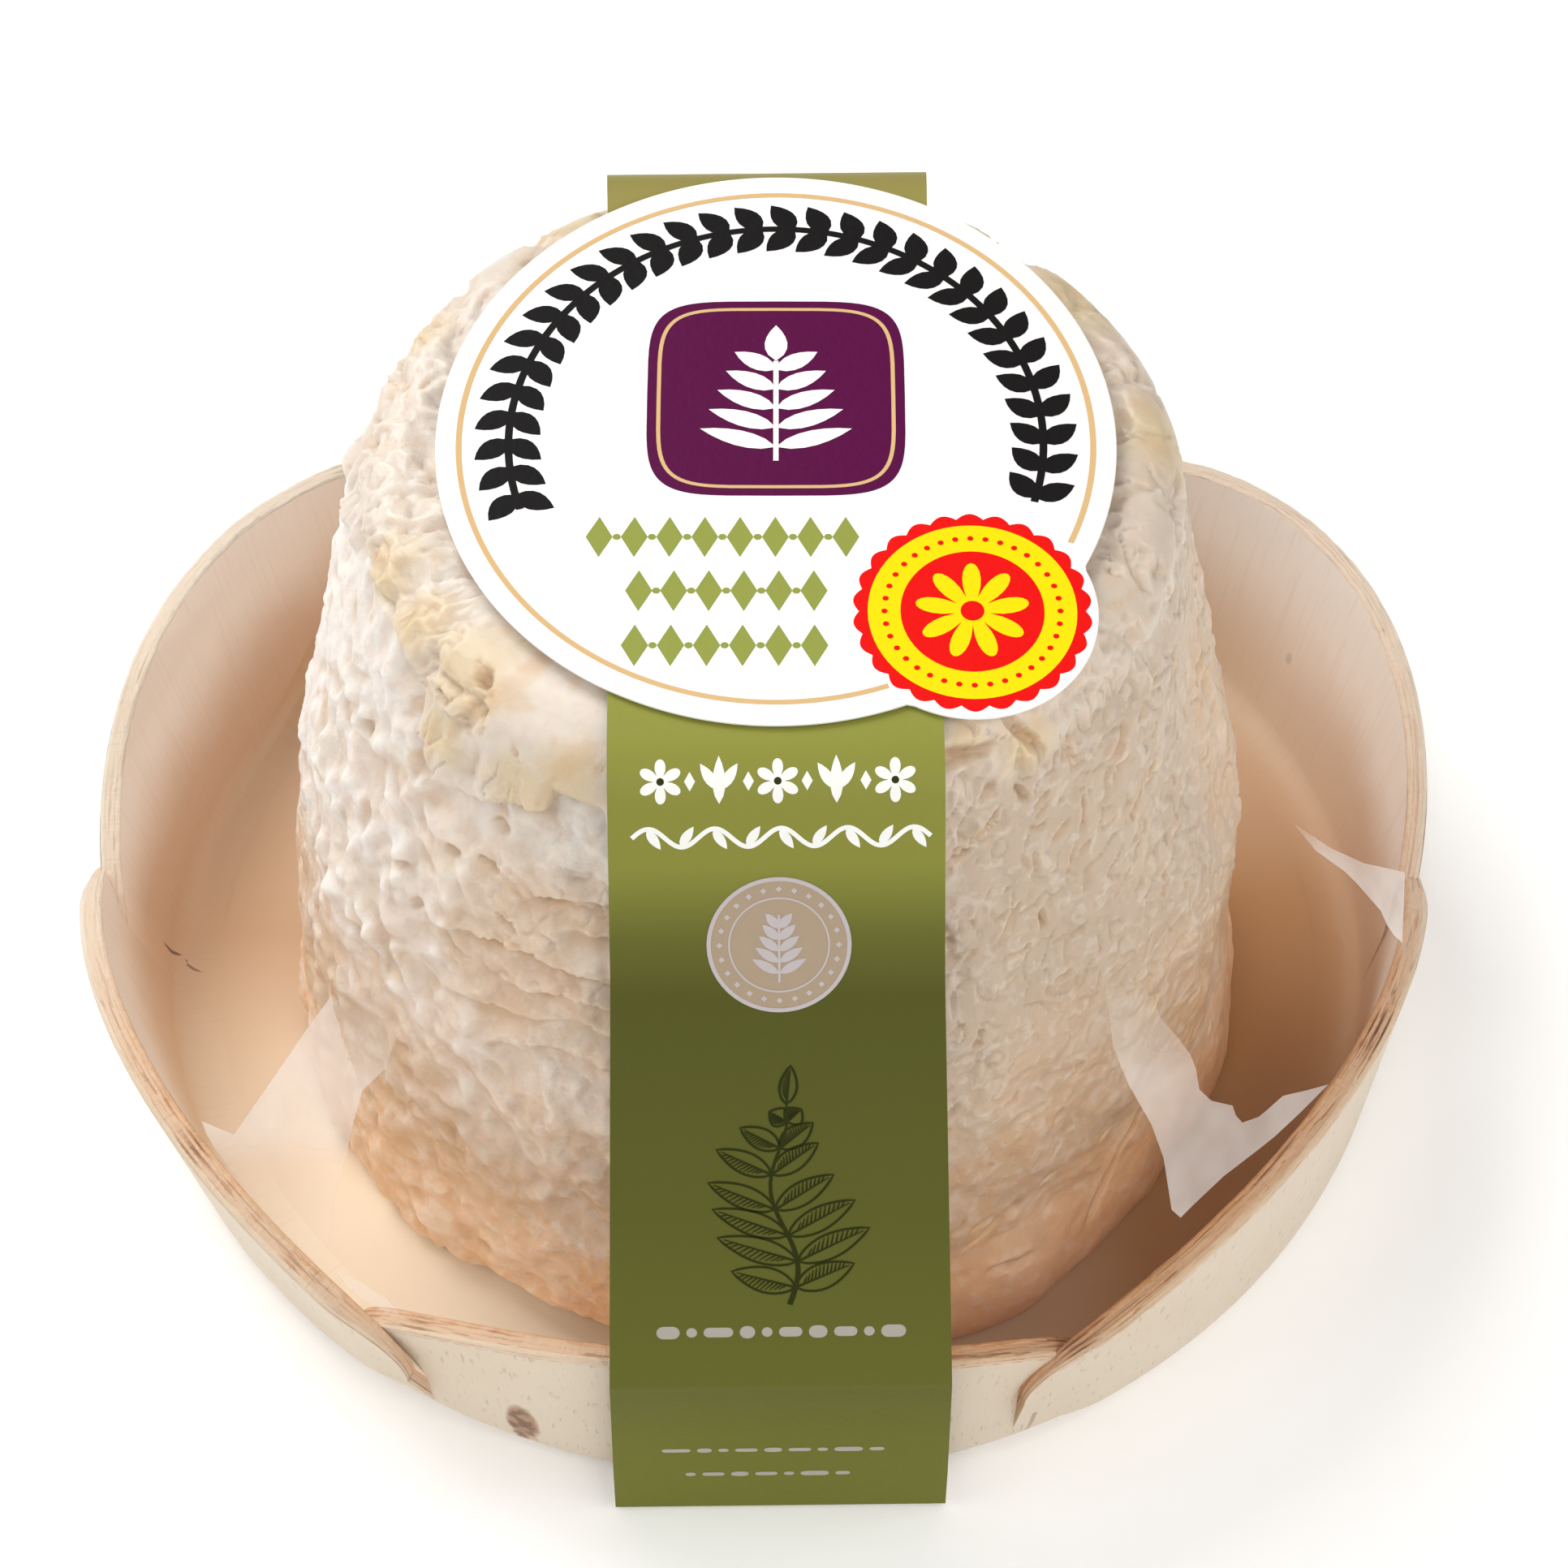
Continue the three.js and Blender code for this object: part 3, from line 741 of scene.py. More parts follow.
def foot_lift(azimuth, radius, height):
    """The cheese's foot is lifted off the tray in front, on the left of the band."""
    turn = turn_from(azimuth, FOOT_LIFT["azimuth"])
    outward = smoothstep(radius, FOOT_LIFT["from"], FOOT_LIFT["to"])
    bell = np.exp(-(turn / FOOT_LIFT["spread"]) ** 2)
    return FOOT_LIFT["height"] * bell * outward * falloff(height, 0, FOOT_LIFT["reach"])


def cheese_points():
    """The cheese's points, the numbers for its shader and how many columns its grid has."""
    azimuths = cheese_azimuths()
    normals = np.stack([np.gradient(section[:, 1]), -np.gradient(section[:, 0])], axis=1)
    normals /= np.linalg.norm(normals, axis=1, keepdims=True)
    azimuth = np.broadcast_to(azimuths, (len(section), len(azimuths))).ravel()
    radius, height = np.repeat(section, len(azimuths), axis=0).T
    out, up = np.repeat(normals, len(azimuths), axis=0).T
    relief, hang, carried = rind_relief(azimuth, height, radius, polar(radius, azimuth, height))
    relief[: BOTTOM_ROWS * len(azimuths)] = 0
    level = np.clip(height + up * relief - hang, 0, CHEESE_HEIGHT)
    points = polar(radius + out * relief, azimuth, level + foot_lift(azimuth, radius, height))
    points[:, 1] += lerp(-FOOT_FORWARD, TOP_BACK, np.minimum(1, height / SHOULDER))
    points[:, 2] += CHEESE_FOOT
    return points, carried, len(azimuths)


points, carried, columns = cheese_points()
print("relief spans the box", points.min(0).round(2), points.max(0).round(2))

# %% [markdown]
# The rind's finish starts from a cream, near white on the left and more beige on the right: partly a thicker
# bloom on the left and partly painted light, since the strongest lamps stand on the left. Coats lie over it.
# The lip has waxy yellow patches, and the foot has drawn a tan from the wood. Pits, slits, creases and the
# undersides of folds go to a warm tan, and the hollow under the lip to a grey: partly the rind's own colour
# and partly painted shade in its recesses. One grit, finer than the mesh, gives both bump and colour: its
# tops carry white bloom and a painted highlight, and its gaps show the tan and painted shade. The crests of
# the curd are painted lighter in the same way. A thin clear coat stands for the wet skin and its glints.
# Under the skin the curd is translucent, so light spreads in it.

# %% Finish of the rind
rind = Finish("rind")
blotch = rind.noise(5.5, detail=3)
spread = rind.noise(12)
speck = rind.noise(2.4, detail=3)
grit = rind.noise(1.1, detail=4, roughness=0.55)
low, rough = rind.read("low"), rind.read("rough")
cream = rind.coats(
    # paler on the left: partly a thicker bloom, partly painted light from the lamps on the left
    rind.between(rind.read("left"), (201, 181, 159), (238, 231, 225)),
    # share that a coat covers, its colour
    (rind.smooth(spread, 0.45, 0.65) * 0.25, (222, 202, 176)),
    (rind.read("lip") * 0.75, (220, 207, 192)),
    (rind.read("yellow") * 0.75, (218, 196, 154)),
    (rind.read("folded") * 0.5, (210, 186, 158)),
    (low * 0.65, (232, 197, 159)),
    (low * rind.smooth(blotch, 0.4, 0.6) * 0.5, (222, 174, 120)),
    (low * rind.smooth(speck, 0.5, 0.66) * 0.4, (242, 220, 198)),
    (rind.read("foot") * 0.7, (250, 196, 144)),
    (rind.smooth(rind.read("drawn"), 0.55, 0.95) * 0.35, (236, 220, 204)),
    # grit tops lighter and grit gaps darker: partly bloom and tan, partly painted highlight and painted shade
    (rind.smooth(grit, 0.52, 0.64) * rough * 0.35, (243, 236, 226)),
    (rind.smooth(0.5 - grit, 0.02, 0.14) * rough * 0.25, (210, 186, 160)),
    # crests painted lighter, creases and pits darker: partly the rind's own colour, partly painted highlight
    # and shade
    (rind.read("crest") * 0.45, (245, 239, 229)),
    (rind.read("crease") * 0.25, (214, 186, 156)),
    # the hollow under the lip is greyed: painted shade
    (rind.read("hollow") * 0.35, (212, 204, 196)),
    (rind.read("pit") * 0.55, (210, 172, 128)),
)
rind_shader = rind.surface(
    Base_Color=cream,
    Roughness=rind.smooth(grit, 0.3, 0.7) * 0.2 + 0.42,
    Normal=rind.bump(grit * rough + rind.noise(0.35) * 0.2, 0.22),
    Coat_Weight=rind.smooth(blotch, 0.35, 0.6) * 0.2 + 0.05,
    Coat_Roughness=0.2,
    Subsurface_Weight=0.7,
    Subsurface_Radius=(1.0, 0.7, 0.5),
    Subsurface_Scale=1.0 * MM,
)
piece("rind_and_curd", points, capped_grid(len(section), columns), [rind.done(rind_shader)], "cheese",
      carried)

# %% [markdown]
# The tray is pressed from thin poplar plies: six petals, each lapped inside or outside the next, rise from
# a flat floor. A petal is one closed ring of points swept along its rim: the outer face, the cut edge at
# the top and the inner face. The cut edge has its own rows, so that the plies can stand unevenly there.
# Three tables say, for each azimuth, how far painted shade darkens wall and floor and how far the edge is
# torn.

# %% Measures of the tray
WALL_DEGREE = 0.8
TRAY_FOOT = 0.75
VENEER = 1.7
TRAY_FOOT_RADIUS = 43.8
TRAY_CORNER = 3.5
FLOOR_RADIUS = 39.5
FLANGE_RADIUS = 38.0
LAP_DEGREES = 3.5
LAP_BITE = 0.1
SLIM = 0.08
SKIVE = 0.45
SKIVE_SHARE = 0.13
END_RISE = 8.5
RISE_FULLNESS = 0.55
REACH_FULLNESS = 0.8
JOINTS = [(-25.5, 44.6), (34, 46.0), (89, 46.8), (150, 46.2), (213, 46.2), (271, 45.3)]
PETALS = [
    # reach, rise, lapped outside its neighbours
    (45.6, 17.9, False), (48.1, 17.9, True), (48.3, 17.9, False),
    (47.2, 17.9, True), (48.8, 18.2, False), (45.7, 17.9, True),
]


def petal_rim(index, share):
    """Azimuth, height and radius of a petal's rim, a share of the way along it."""
    reach, rise, outside = PETALS[index]
    (start, start_radius), (end, end_radius) = JOINTS[index], JOINTS[(index + 1) % len(JOINTS)]
    end += 360 if end < start else 0
    outward = VENEER - LAP_BITE if outside else 0
    arch = np.maximum(0, np.sin(np.pi * share))
    middle = (start_radius + end_radius) / 2 + outward
    azimuth = lerp(start - LAP_DEGREES, end + LAP_DEGREES, share)
    height = END_RISE + (rise - END_RISE) * arch ** RISE_FULLNESS
    radius = lerp(start_radius, end_radius, share) + outward + (reach - middle) * arch ** REACH_FULLNESS
    return azimuth, height, radius


def petal_shares(columns):
    return (1 - np.cos(np.pi * np.arange(columns) / (columns - 1))) / 2


print("petal rims reach", [reach for reach, _, _ in PETALS], "mm from the axis")

# %% [markdown]
# Each column of a petal is one ring, and the numbers for the shader are worked out beside its points: how
# far through the veneer a point lies, its length along the wall, its drop below the rim, and what the
# tables say there. The wall's last row stands close to the rim, so that the torn edge stays crisp.

# %% One petal
PETAL_COLUMNS = 150
FLANGE_ROWS, CORNER_ROWS, WALL_ROWS = 4, 9, 15
EDGE_ROWS = 16
LAST_ROW_SHARE = 0.55
PLIES = 4
PLY_STEP = 0.3
SPLIT_DEPTH = 0.5
FIBRE_STEP = 0.14
ROUNDING = 0.25
GLUE_REACH = 0.17
PLY_WAVE, FIBRE_WAVE, SPLIT_WAVE = 5.5, 0.9, 3.2
GRAIN_SHIFT = 31.0
INNER_SHADE = [
    # azimuth, how far the inside of the wall is painted with shade, most where the cheese's shade falls
    (-170, 0.25), (-120, 0.3), (-100, 0.6), (-80, 0.7), (-60, 1.15), (-15, 1.0), (18, 0.2), (35, 0.0),
    (60, 0.05), (90, 0.6), (120, 0.55),
]
FLOOR_SHADE = [
    # azimuth, how far the floor there is painted with shade
    (-170, 0.3), (-120, 0.6), (-108, 0.75), (-98, 0.9), (-80, 0.95), (-45, 0.85), (-33, 0.65), (18, 0.2),
    (32, 0.0), (52, 0.0), (62, 0.2), (75, 0.35), (93, 0.62), (115, 0.4), (150, 0.3),
]
TORN = [
    # azimuth, how far the cut edge is torn and browned
    (-170, 0.1), (-100, 0.25), (-70, 0.8), (-15, 1.0), (18, 0.6), (45, 0.5), (60, 0.6), (80, 0.15),
    (140, 0.0),
]
WORDS = ("through", "azimuth", "along", "drop", "toast", "floor_toast", "torn", "grain", "sink")


def wall_line(radius, height, depth):
    """Section of the wall, from the floor round the corner to the rim, a depth in from its outer face."""
    rise = math.atan2(height, radius - TRAY_FOOT_RADIUS)
    centre = TRAY_FOOT_RADIUS - TRAY_CORNER * math.tan(rise / 2)
    bend = TRAY_CORNER - depth
    turns = np.linspace(0, rise, CORNER_ROWS)
    corner = np.stack([centre + bend * np.sin(turns), TRAY_CORNER - bend * np.cos(turns)], axis=1)
    rim = np.array([radius - depth * math.sin(rise), height + depth * math.cos(rise)])
    flange = np.linspace((FLANGE_RADIUS, depth), corner[0], FLANGE_ROWS + 1)[:-1]
    wall = np.linspace(corner[-1], rim, WALL_ROWS + 1)[1:]
    wall[-2] = lerp(wall[-1], wall[-2], LAST_ROW_SHARE)
    return np.concatenate([flange, corner, wall])


def edge_sink(index, through, azimuth, torn):
    """How far the cut edge lies below the rim: each ply is broken at its own height, and some split."""
    ply = np.minimum(PLIES - 1, np.floor(through * PLIES))
    seeds = ply * 5.3 + index * 17.1
    along = azimuth * WALL_DEGREE
    ragged = np.array([noise.noise((along / PLY_WAVE, seed, 0.5)) for seed in seeds])
    fine = np.array([noise.noise((along / FIBRE_WAVE, seed, 4.5)) for seed in seeds])
    at_glue = np.abs(through * PLIES - np.round(through * PLIES)) < GLUE_REACH
    inner_glue = at_glue & (through > 0.12) & (through < 0.88)
    gape = max(0.0, noise.noise((along / SPLIT_WAVE, index * 3.7, 9.1)) - 0.02) * 2.2 * torn
    broken = PLY_STEP * (0.5 - 0.5 * ragged) + FIBRE_STEP * np.abs(fine)
    rounded = ROUNDING * (2 * np.abs(through - 0.5)) ** 6
    return broken + rounded + inner_glue * SPLIT_DEPTH * gape


def petal(index):
    """Points and faces of one petal, with the numbers for its shader."""
    outside = PETALS[index][2]
    shares = petal_shares(PETAL_COLUMNS)
    azimuths, heights, radii = petal_rim(index, shares)
    looks = [looked_up(table, azimuths) for table in (INNER_SHADE, FLOOR_SHADE, TORN)]
    inner_depth = VENEER if outside else VENEER - SLIM
    through = np.linspace(0, 1, EDGE_ROWS + 2)
    points, carried = [], {word: [] for word in WORDS}
    columns = zip(shares, azimuths, heights, radii, *looks)
    for share, azimuth, height, radius, toast, floor_toast, torn in columns:
        to_end = smoothstep(min(share, 1 - share), 0, SKIVE_SHARE)
        outer = wall_line(radius, height, SKIVE * VENEER * (1 - to_end) if outside else SLIM)
        inner = wall_line(radius, height, inner_depth)
        direction = (outer[-1] - outer[-2]) / np.linalg.norm(outer[-1] - outer[-2])
        sink = edge_sink(index, through, azimuth, torn * to_end)
        edge = lerp(outer[-1], inner[-1], through[:, None]) - direction * sink[:, None]
        ring = np.concatenate([outer[:-1], edge, inner[:-1][::-1]])
        points.append(polar(ring[:, 0], azimuth, ring[:, 1] + TRAY_FOOT))
        run = run_along(outer)
        run = run - run[FLANGE_ROWS]
        side, none = run[:-1], np.zeros(len(run) - 1)
        along = np.concatenate([side, np.full(len(through), run[-1]), side[::-1]])
        values = (
            np.concatenate([none, through, none + 1]), azimuth, along, run[-1] - along, toast, floor_toast,
            torn, index * GRAIN_SHIFT, np.concatenate([none, sink, none]),
        )
        for word, value in zip(WORDS, values):
            carried[word].append(np.broadcast_to(value, len(ring)))
    count = len(ring)
    faces = grid_faces(PETAL_COLUMNS, count)
    wall_rows = len(outer) - 1
    kinds = [int(wall_rows <= k % count < count - wall_rows - 1) for k in range(len(faces))]
    last = (PETAL_COLUMNS - 1) * count
    for k in range(count // 2 - 1):
        faces.append((k, count - 1 - k, count - 2 - k, k + 1))
        faces.append((last + k, last + k + 1, last + count - 2 - k, last + count - 1 - k))
        kinds += [1, 1]
    return np.concatenate(points), faces, kinds, {word: np.concatenate(v) for word, v in carried.items()}


print("points in a petal:", PETAL_COLUMNS * (2 * (FLANGE_ROWS + CORNER_ROWS + WALL_ROWS - 1) + EDGE_ROWS + 2))

# %% [markdown]
# The floor is a disc laid over the petals' feet. Petals and floor become one piece, as in the glued tray.
# Two finishes share it: the smooth face of the veneer, and the cut edge where the plies show.

# %% The tray's mesh
FLOOR_COLUMNS = 120
FLOOR_PROUD = 0.02
FLOOR_RADII = (HUB, 10, 20, 30, FLOOR_RADIUS)
FLOOR_RUN = -2
FAR_BELOW_RIM = 15


def tray_floor():
    """The floor's disc, from the middle of its top round its rim to the middle underneath."""
    radii = np.array([*FLOOR_RADII, *reversed(FLOOR_RADII)])
    levels = np.repeat([VENEER + FLOOR_PROUD, SLIM], len(FLOOR_RADII))
    azimuths = np.linspace(0, 360, FLOOR_COLUMNS, endpoint=False)
    rings = zip(radii, TRAY_FOOT + levels)
    points = np.concatenate([polar(radius, azimuths, height) for radius, height in rings])
    faces = capped_grid(len(radii), FLOOR_COLUMNS)
    carried = {word: np.zeros(len(points)) for word in WORDS}
    carried["through"] = np.repeat(levels > 1, FLOOR_COLUMNS).astype(float)
    carried["along"] = np.repeat(radii - FLOOR_RADIUS + FLOOR_RUN, FLOOR_COLUMNS)
    carried["drop"] += FAR_BELOW_RIM
    for word, table in (("toast", INNER_SHADE), ("floor_toast", FLOOR_SHADE)):
        carried[word] = np.tile(looked_up(table, azimuths), len(radii))
    return points, faces, [0] * len(faces), carried


def joined(parts):
    """One table of points and faces from several."""
    points, faces, kinds, carried = [], [], [], {}
    for part_points, part_faces, part_kinds, part_carried in parts:
        start = sum(len(done) for done in points)
        points.append(part_points)
        faces += [tuple(start + k for k in face) for face in part_faces]
        kinds += part_kinds
        for word, values in part_carried.items():
            carried.setdefault(word, []).append(values)
    return np.concatenate(points), faces, kinds, {word: np.concatenate(v) for word, v in carried.items()}


tray_parts = [petal(index) for index in range(len(PETALS))] + [tray_floor()]
tray_points, tray_faces, tray_kinds, tray_carried = joined(tray_parts)
print("the tray spans", tray_points.min(0).round(2), tray_points.max(0).round(2))

# %% [markdown]
# Poplar is pale, with a very fine straight grain. Outside, short grey pores stand upright. Inside, shade is
# painted into the colour: the wall goes from cream at the rim to brown lower down, and most in front on the
# right, where the cheese's shade falls on wall and floor. Just under the rim the inner ply is torn and
# orange.
# A few real blemishes make it wood and not plastic: a knot with a dark heart, a scratch, two short cracks and
# a grey speck. Each is an ellipse placed by its azimuth and by the length along the wall, counted from where
# the floor ends.

# %% Finish of the veneer
GRAIN_WIDTH = 0.35


def blemish(azimuth, along, middle, length, width, lean=90.0):
    """1 inside a slim ellipse on the wall, 0 outside."""
    lengthwise, beside = leaning((middle[0] - azimuth) * WALL_DEGREE, along - middle[1], lean)
    reach = (lengthwise * (2 / length)) ** 2.0 + (beside * (2 / width)) ** 2.0
    return 1 - reach.finish.smooth(reach, 0.5, 1.3)


def wall_noise(across, upward, detail=2.0):
    """Noise on two values of the wall, with its own part of the noise for each petal."""
    finish = across.finish
    where = finish.node("CombineXYZ", None, {0: across, 1: upward, 2: finish.read("grain")})
    return finish.node("TexNoise", None, {"Vector": where, "Scale": 1.0, "Detail": detail})


def wood_grain(azimuth, along, length):
    """Noise drawn out up the wall, as the grain runs, to spots of about a length."""
    return wall_noise(azimuth * (WALL_DEGREE / GRAIN_WIDTH), along / length)


veneer = Finish("veneer face")
azimuth, along, inside = veneer.read("azimuth"), veneer.read("along"), veneer.read("through")
drop, split = veneer.read("drop"), veneer.read("torn")
grain, pore = wood_grain(azimuth, along, 9.0), wood_grain(azimuth, along, 1.5)
cloudy, chipped = veneer.noise(9), veneer.noise(0.9, detail=4)

up_from_floor = veneer.smooth(along, -2, 5)
# painted shade: the inside goes brown lower down and where the cheese's shade falls
toast = veneer.read("toast") * up_from_floor + veneer.read("floor_toast") * (1 - up_from_floor)
up_wall = along + cloudy * 4
pale_inside = veneer.between(veneer.smooth(up_wall, 7, 20), (255, 241, 218), (255, 246, 236))
shaded_inside = veneer.between(veneer.smooth(up_wall, 9.5, 17.5), (190, 132, 64), (255, 245, 235))
torn = 1 - veneer.smooth(drop + (chipped - 0.5) * 2.2, 0.15, 0.5)
crack = blemish(azimuth, along, (89.4, 4.0), 3.6, 0.34, 80)
hook = blemish(azimuth, along, (88.7, 0.6), 2.6, 0.3, 118)
speck = blemish(azimuth, along, (239.9, 10.2), 1.0, 0.7)
inner_face = veneer.coats(
    veneer.mix(toast, pale_inside, shaded_inside),
    (veneer.smooth(grain, 0.45, 0.75) * 0.1, (208, 158, 114)),
    (torn * split * 0.85, (222, 150, 90)),
    (crack * 0.85 + hook * 0.7, (104, 72, 48)),
    (speck * 0.25, (120, 104, 92)),
)

below_rim = drop + (cloudy - 0.5) * 0.5
chamfer = 1 - veneer.smooth(below_rim, 0.7, 0.8)
from_seam = below_rim - 0.75
seam = 1 - veneer.smooth(from_seam.math("ABSOLUTE", from_seam), 0.03, 0.12)
knot = blemish(azimuth, along + (chipped - 0.5) * 2.4, (21.5, 6.7), 5.4, 2.4)
scratch = blemish(azimuth, along, (-23.9, 6.0), 5.0, 0.4, 80)
outer_face = veneer.coats(
    veneer.between(cloudy, (226, 213, 193), (218, 200, 176)),
    (veneer.smooth(pore, 0.6, 0.72) * 0.5, (172, 156, 138)),
    (chamfer * split * 0.6, (226, 190, 164)),
    (seam * split * veneer.smooth(chipped, 0.42, 0.55) * 0.8, (200, 140, 100)),
    (knot * 0.9, (164, 122, 88)),
    (veneer.smooth(chipped, 0.44, 0.6) * knot * 0.8, (106, 68, 42)),
    (scratch * 0.6, (150, 118, 92)),
)
face = veneer.mix(inside, outer_face, inner_face)
wood_bump = veneer.bump(grain * 0.2 + pore * (1 - inside) * 0.2 + chipped * torn * split, 0.1)
veneer_face = veneer.done(veneer.surface(Base_Color=face, Roughness=0.62, Normal=wood_bump,
                                         Specular_IOR_Level=0.25))

cut = Finish("cut plies")
through, split = cut.read("through"), cut.read("torn")
ragged = wood_grain(cut.read("azimuth"), cut.read("along"), 0.8)
patch = cut.noise(2.6, detail=3)
crumbs = cut.noise(0.7, detail=3)
cleft = wall_noise(cut.read("azimuth") * (WALL_DEGREE / 5), through * 4.5, 4.0)
ply = (through + (ragged - 0.5) * 0.08) * float(PLIES)
glue = (1 - cut.smooth(ply.math("PINGPONG", ply, 0.5), 0.02, 0.12)) * cut.smooth(patch, 0.42, 0.56)
odd_ply = cut.smooth(ply.math("PINGPONG", ply, 2.0), 0.9, 1.1)
pale_ply = cut.between(odd_ply, (232, 220, 202), (230, 211, 188))
pink_ply = cut.between(odd_ply, (220, 188, 152), (214, 168, 128))
inner_edge = cut.smooth(through + (patch - 0.5) * 0.4, 0.66, 0.78) * (split * 0.9 + 0.05)
to_middle = through.math("ABSOLUTE", through - 0.5)
middle_plies = cut.smooth(0.4 - to_middle, 0.0, 0.1)
end_grain = cut.coats(
    cut.mix(split, pale_ply, pink_ply),
    (inner_edge * 0.8, (222, 158, 100)),
    (inner_edge * cut.smooth(crumbs, 0.5, 0.66) * 0.4, (198, 122, 66)),
    (cut.smooth(cleft, 0.58, 0.595) * middle_plies * split * 0.8, (160, 96, 54)),
    (glue * (split * 0.6 + 0.15), (186, 120, 78)),
    # painted shade: the cut edge is darker where it lies deeper below the rim
    (cut.smooth(cut.read("sink"), 0.45, 0.75) * 0.55, (146, 88, 50)),
)
fibres = cut.bump(crumbs * 0.6 + ragged * 0.5 + (1 - cleft), 0.25)
cut_face = cut.done(cut.surface(Base_Color=end_grain, Roughness=0.75, Normal=fibres, Specular_IOR_Level=0.2))

piece("moulded_tray", tray_points, tray_faces, [veneer_face, cut_face], "tray", tray_carried,
      sharp=40, face_materials=tray_kinds)

# %% [markdown]
# Clear film is shrunk round the pack, so it takes the tightest shape that holds everything: the convex
# hull of the petals' rims and the cheese's top edge. Its points come from the same formulas as the tray's.
# Real film is so thin that light goes straight through, so a single sheet is enough: the shader lets
# light pass and adds a mirror, which grows where the film is seen at a slant, as it does on a window.

# %% The film's hull
AIR = 0.15
FILM_THICKNESS = 0.2
FILM_GROWTH = AIR + FILM_THICKNESS
FILM_COLUMNS = 26
TOP_COLUMNS = 72
TOP_BENDS = (24, 42, 60, 78, 90)
CHEESE_TOP = CHEESE_FOOT + CHEESE_HEIGHT


def film_supports():
    """The points that the film is drawn over: the petals' walls and the cheese's top edge."""
    supports = []
    for index in range(len(PETALS)):
        azimuths, heights, radii = petal_rim(index, petal_shares(FILM_COLUMNS))
        for azimuth, height, radius in zip(azimuths, heights, radii):
            wall = wall_line(radius, height, -FILM_GROWTH)[FLANGE_ROWS:]
            wall[-1, 1] += 2 * FILM_GROWTH
            supports.append(polar(wall[:, 0], azimuth, TRAY_FOOT + wall[:, 1]))
    around_top = np.linspace(0, 360, TOP_COLUMNS, endpoint=False)
    bend = CHEESE_EDGE + FILM_GROWTH
    for turn in np.radians(TOP_BENDS):
        ring = polar(CHEESE_TOP_FLAT + bend * math.cos(turn), around_top,
                     CHEESE_TOP - CHEESE_EDGE + bend * math.sin(turn))
        supports.append(ring + (0, TOP_BACK, 0))
    return np.concatenate(supports)


def hull_of(points):
    """The convex hull of a cloud of points, as points and triangles."""
    shell = bmesh.new()
    for point in points:
        shell.verts.new(point)
    bmesh.ops.convex_hull(shell, input=shell.verts)
    inside = [vert for vert in shell.verts if not vert.link_faces]
    bmesh.ops.delete(shell, geom=inside, context="VERTS")
    shell.verts.index_update()
    corners = np.array([vert.co for vert in shell.verts])
    faces = [tuple(vert.index for vert in face.verts) for face in shell.faces]
    shell.free()
    return corners, faces


film_points, film_faces = hull_of(film_supports())
print("film hull:", len(film_points), "points", film_points.min(0).round(2), film_points.max(0).round(2))

# %% [markdown]
# The film's two shaders are mixed by the slant at which it is seen. Its gloss is held low, because the real
# film shows only as soft glints on the corners of the pack.

# %% Finish of the film
FILM_IOR = 1.5
FILM_GLOSS = 0.3
MOST_GLOSS = 0.09
clear = Finish("clear film")
see_through = clear.node("BsdfTransparent", None, {"Color": (1.0, 1.0, 1.0, 1.0)})
wrinkle = clear.bump(clear.noise(7, detail=1) + clear.noise(2.5, detail=1) * 0.3, 0.12)
mirror = clear.node("BsdfAnisotropic", None, {"Color": (1, 1, 1, 1), "Roughness": 0.18, "Normal": wrinkle})
gloss = clear.node("Fresnel", None, {"IOR": FILM_IOR}) * FILM_GLOSS
gloss = gloss.math("MINIMUM", gloss, MOST_GLOSS)
film_material = clear.done(clear.node("MixShader", None, {0: gloss, 1: see_through, 2: mirror}))
piece("clear_film", film_points, film_faces, [film_material], "film", sharp=22)

# %% [markdown]
# Where the film's flat facets mirror the softboxes, the reflections are painted on as whitish patches with
# crisp edges: painted reflections. Each patch is an outline seen by the camera, thrown onto the hull along
# the lines of sight and filled with small triangles, so that it lies on the film from every side. Each patch
# fades unevenly along its length, so each has its own opacities from top to bottom.

# %% Painted reflections on the film
REFLECTION_LIFT = 0.06
REFLECTION_STEP = 10
PAINTED_REFLECTIONS = [
    # pixel rows with the opacity there, outline in pixels of the photograph
    ([(1225, 0.4), (1300, 0.5), (1390, 0.45), (1440, 0.1), (1560, 0.06)], [
        (408, 1228), (380, 1266), (350, 1310), (289, 1398), (249, 1381), (256, 1398), (268, 1418),
        (290, 1448), (318, 1480), (350, 1520), (400, 1560), (405, 1530), (412, 1480), (428, 1422),
        (434, 1389), (447, 1344), (430, 1300), (418, 1262)]),
    ([(1228, 0.02), (1290, 0.25), (1345, 0.45)], [
        (407, 1229), (416, 1262), (427, 1300), (444, 1346), (476, 1316), (484, 1290), (508, 1229),
        (455, 1226)]),
    ([(1560, 0.3), (1620, 0.25)], [
        (415, 1563), (445, 1580), (478, 1600), (492, 1618), (480, 1617), (468, 1612), (436, 1592),
        (424, 1578)]),
    ([(1205, 0.0), (1260, 0.2), (1320, 0.42), (1400, 0.47), (1500, 0.47)], [
        (1362, 1215), (1366, 1250), (1371, 1290), (1390, 1336), (1418, 1385), (1433, 1426), (1440, 1470),
        (1443, 1490), (1454, 1500), (1469, 1485), (1507, 1449), (1550, 1416), (1570, 1400), (1600, 1372),
        (1636, 1336), (1610, 1343), (1580, 1350), (1562, 1366), (1550, 1376), (1530, 1383), (1522, 1374),
        (1518, 1362), (1492, 1356), (1477, 1342), (1473, 1317), (1466, 1299), (1452, 1280), (1429, 1253),
        (1413, 1217)]),
    ([(1010, 0.1), (1060, 0.5), (1160, 0.7)], [
        (1592, 1014), (1640, 1046), (1680, 1064), (1730, 1075), (1727, 1162), (1716, 1152), (1708, 1140),
        (1700, 1122), (1692, 1113), (1672, 1090), (1657, 1075), (1620, 1048)]),
]


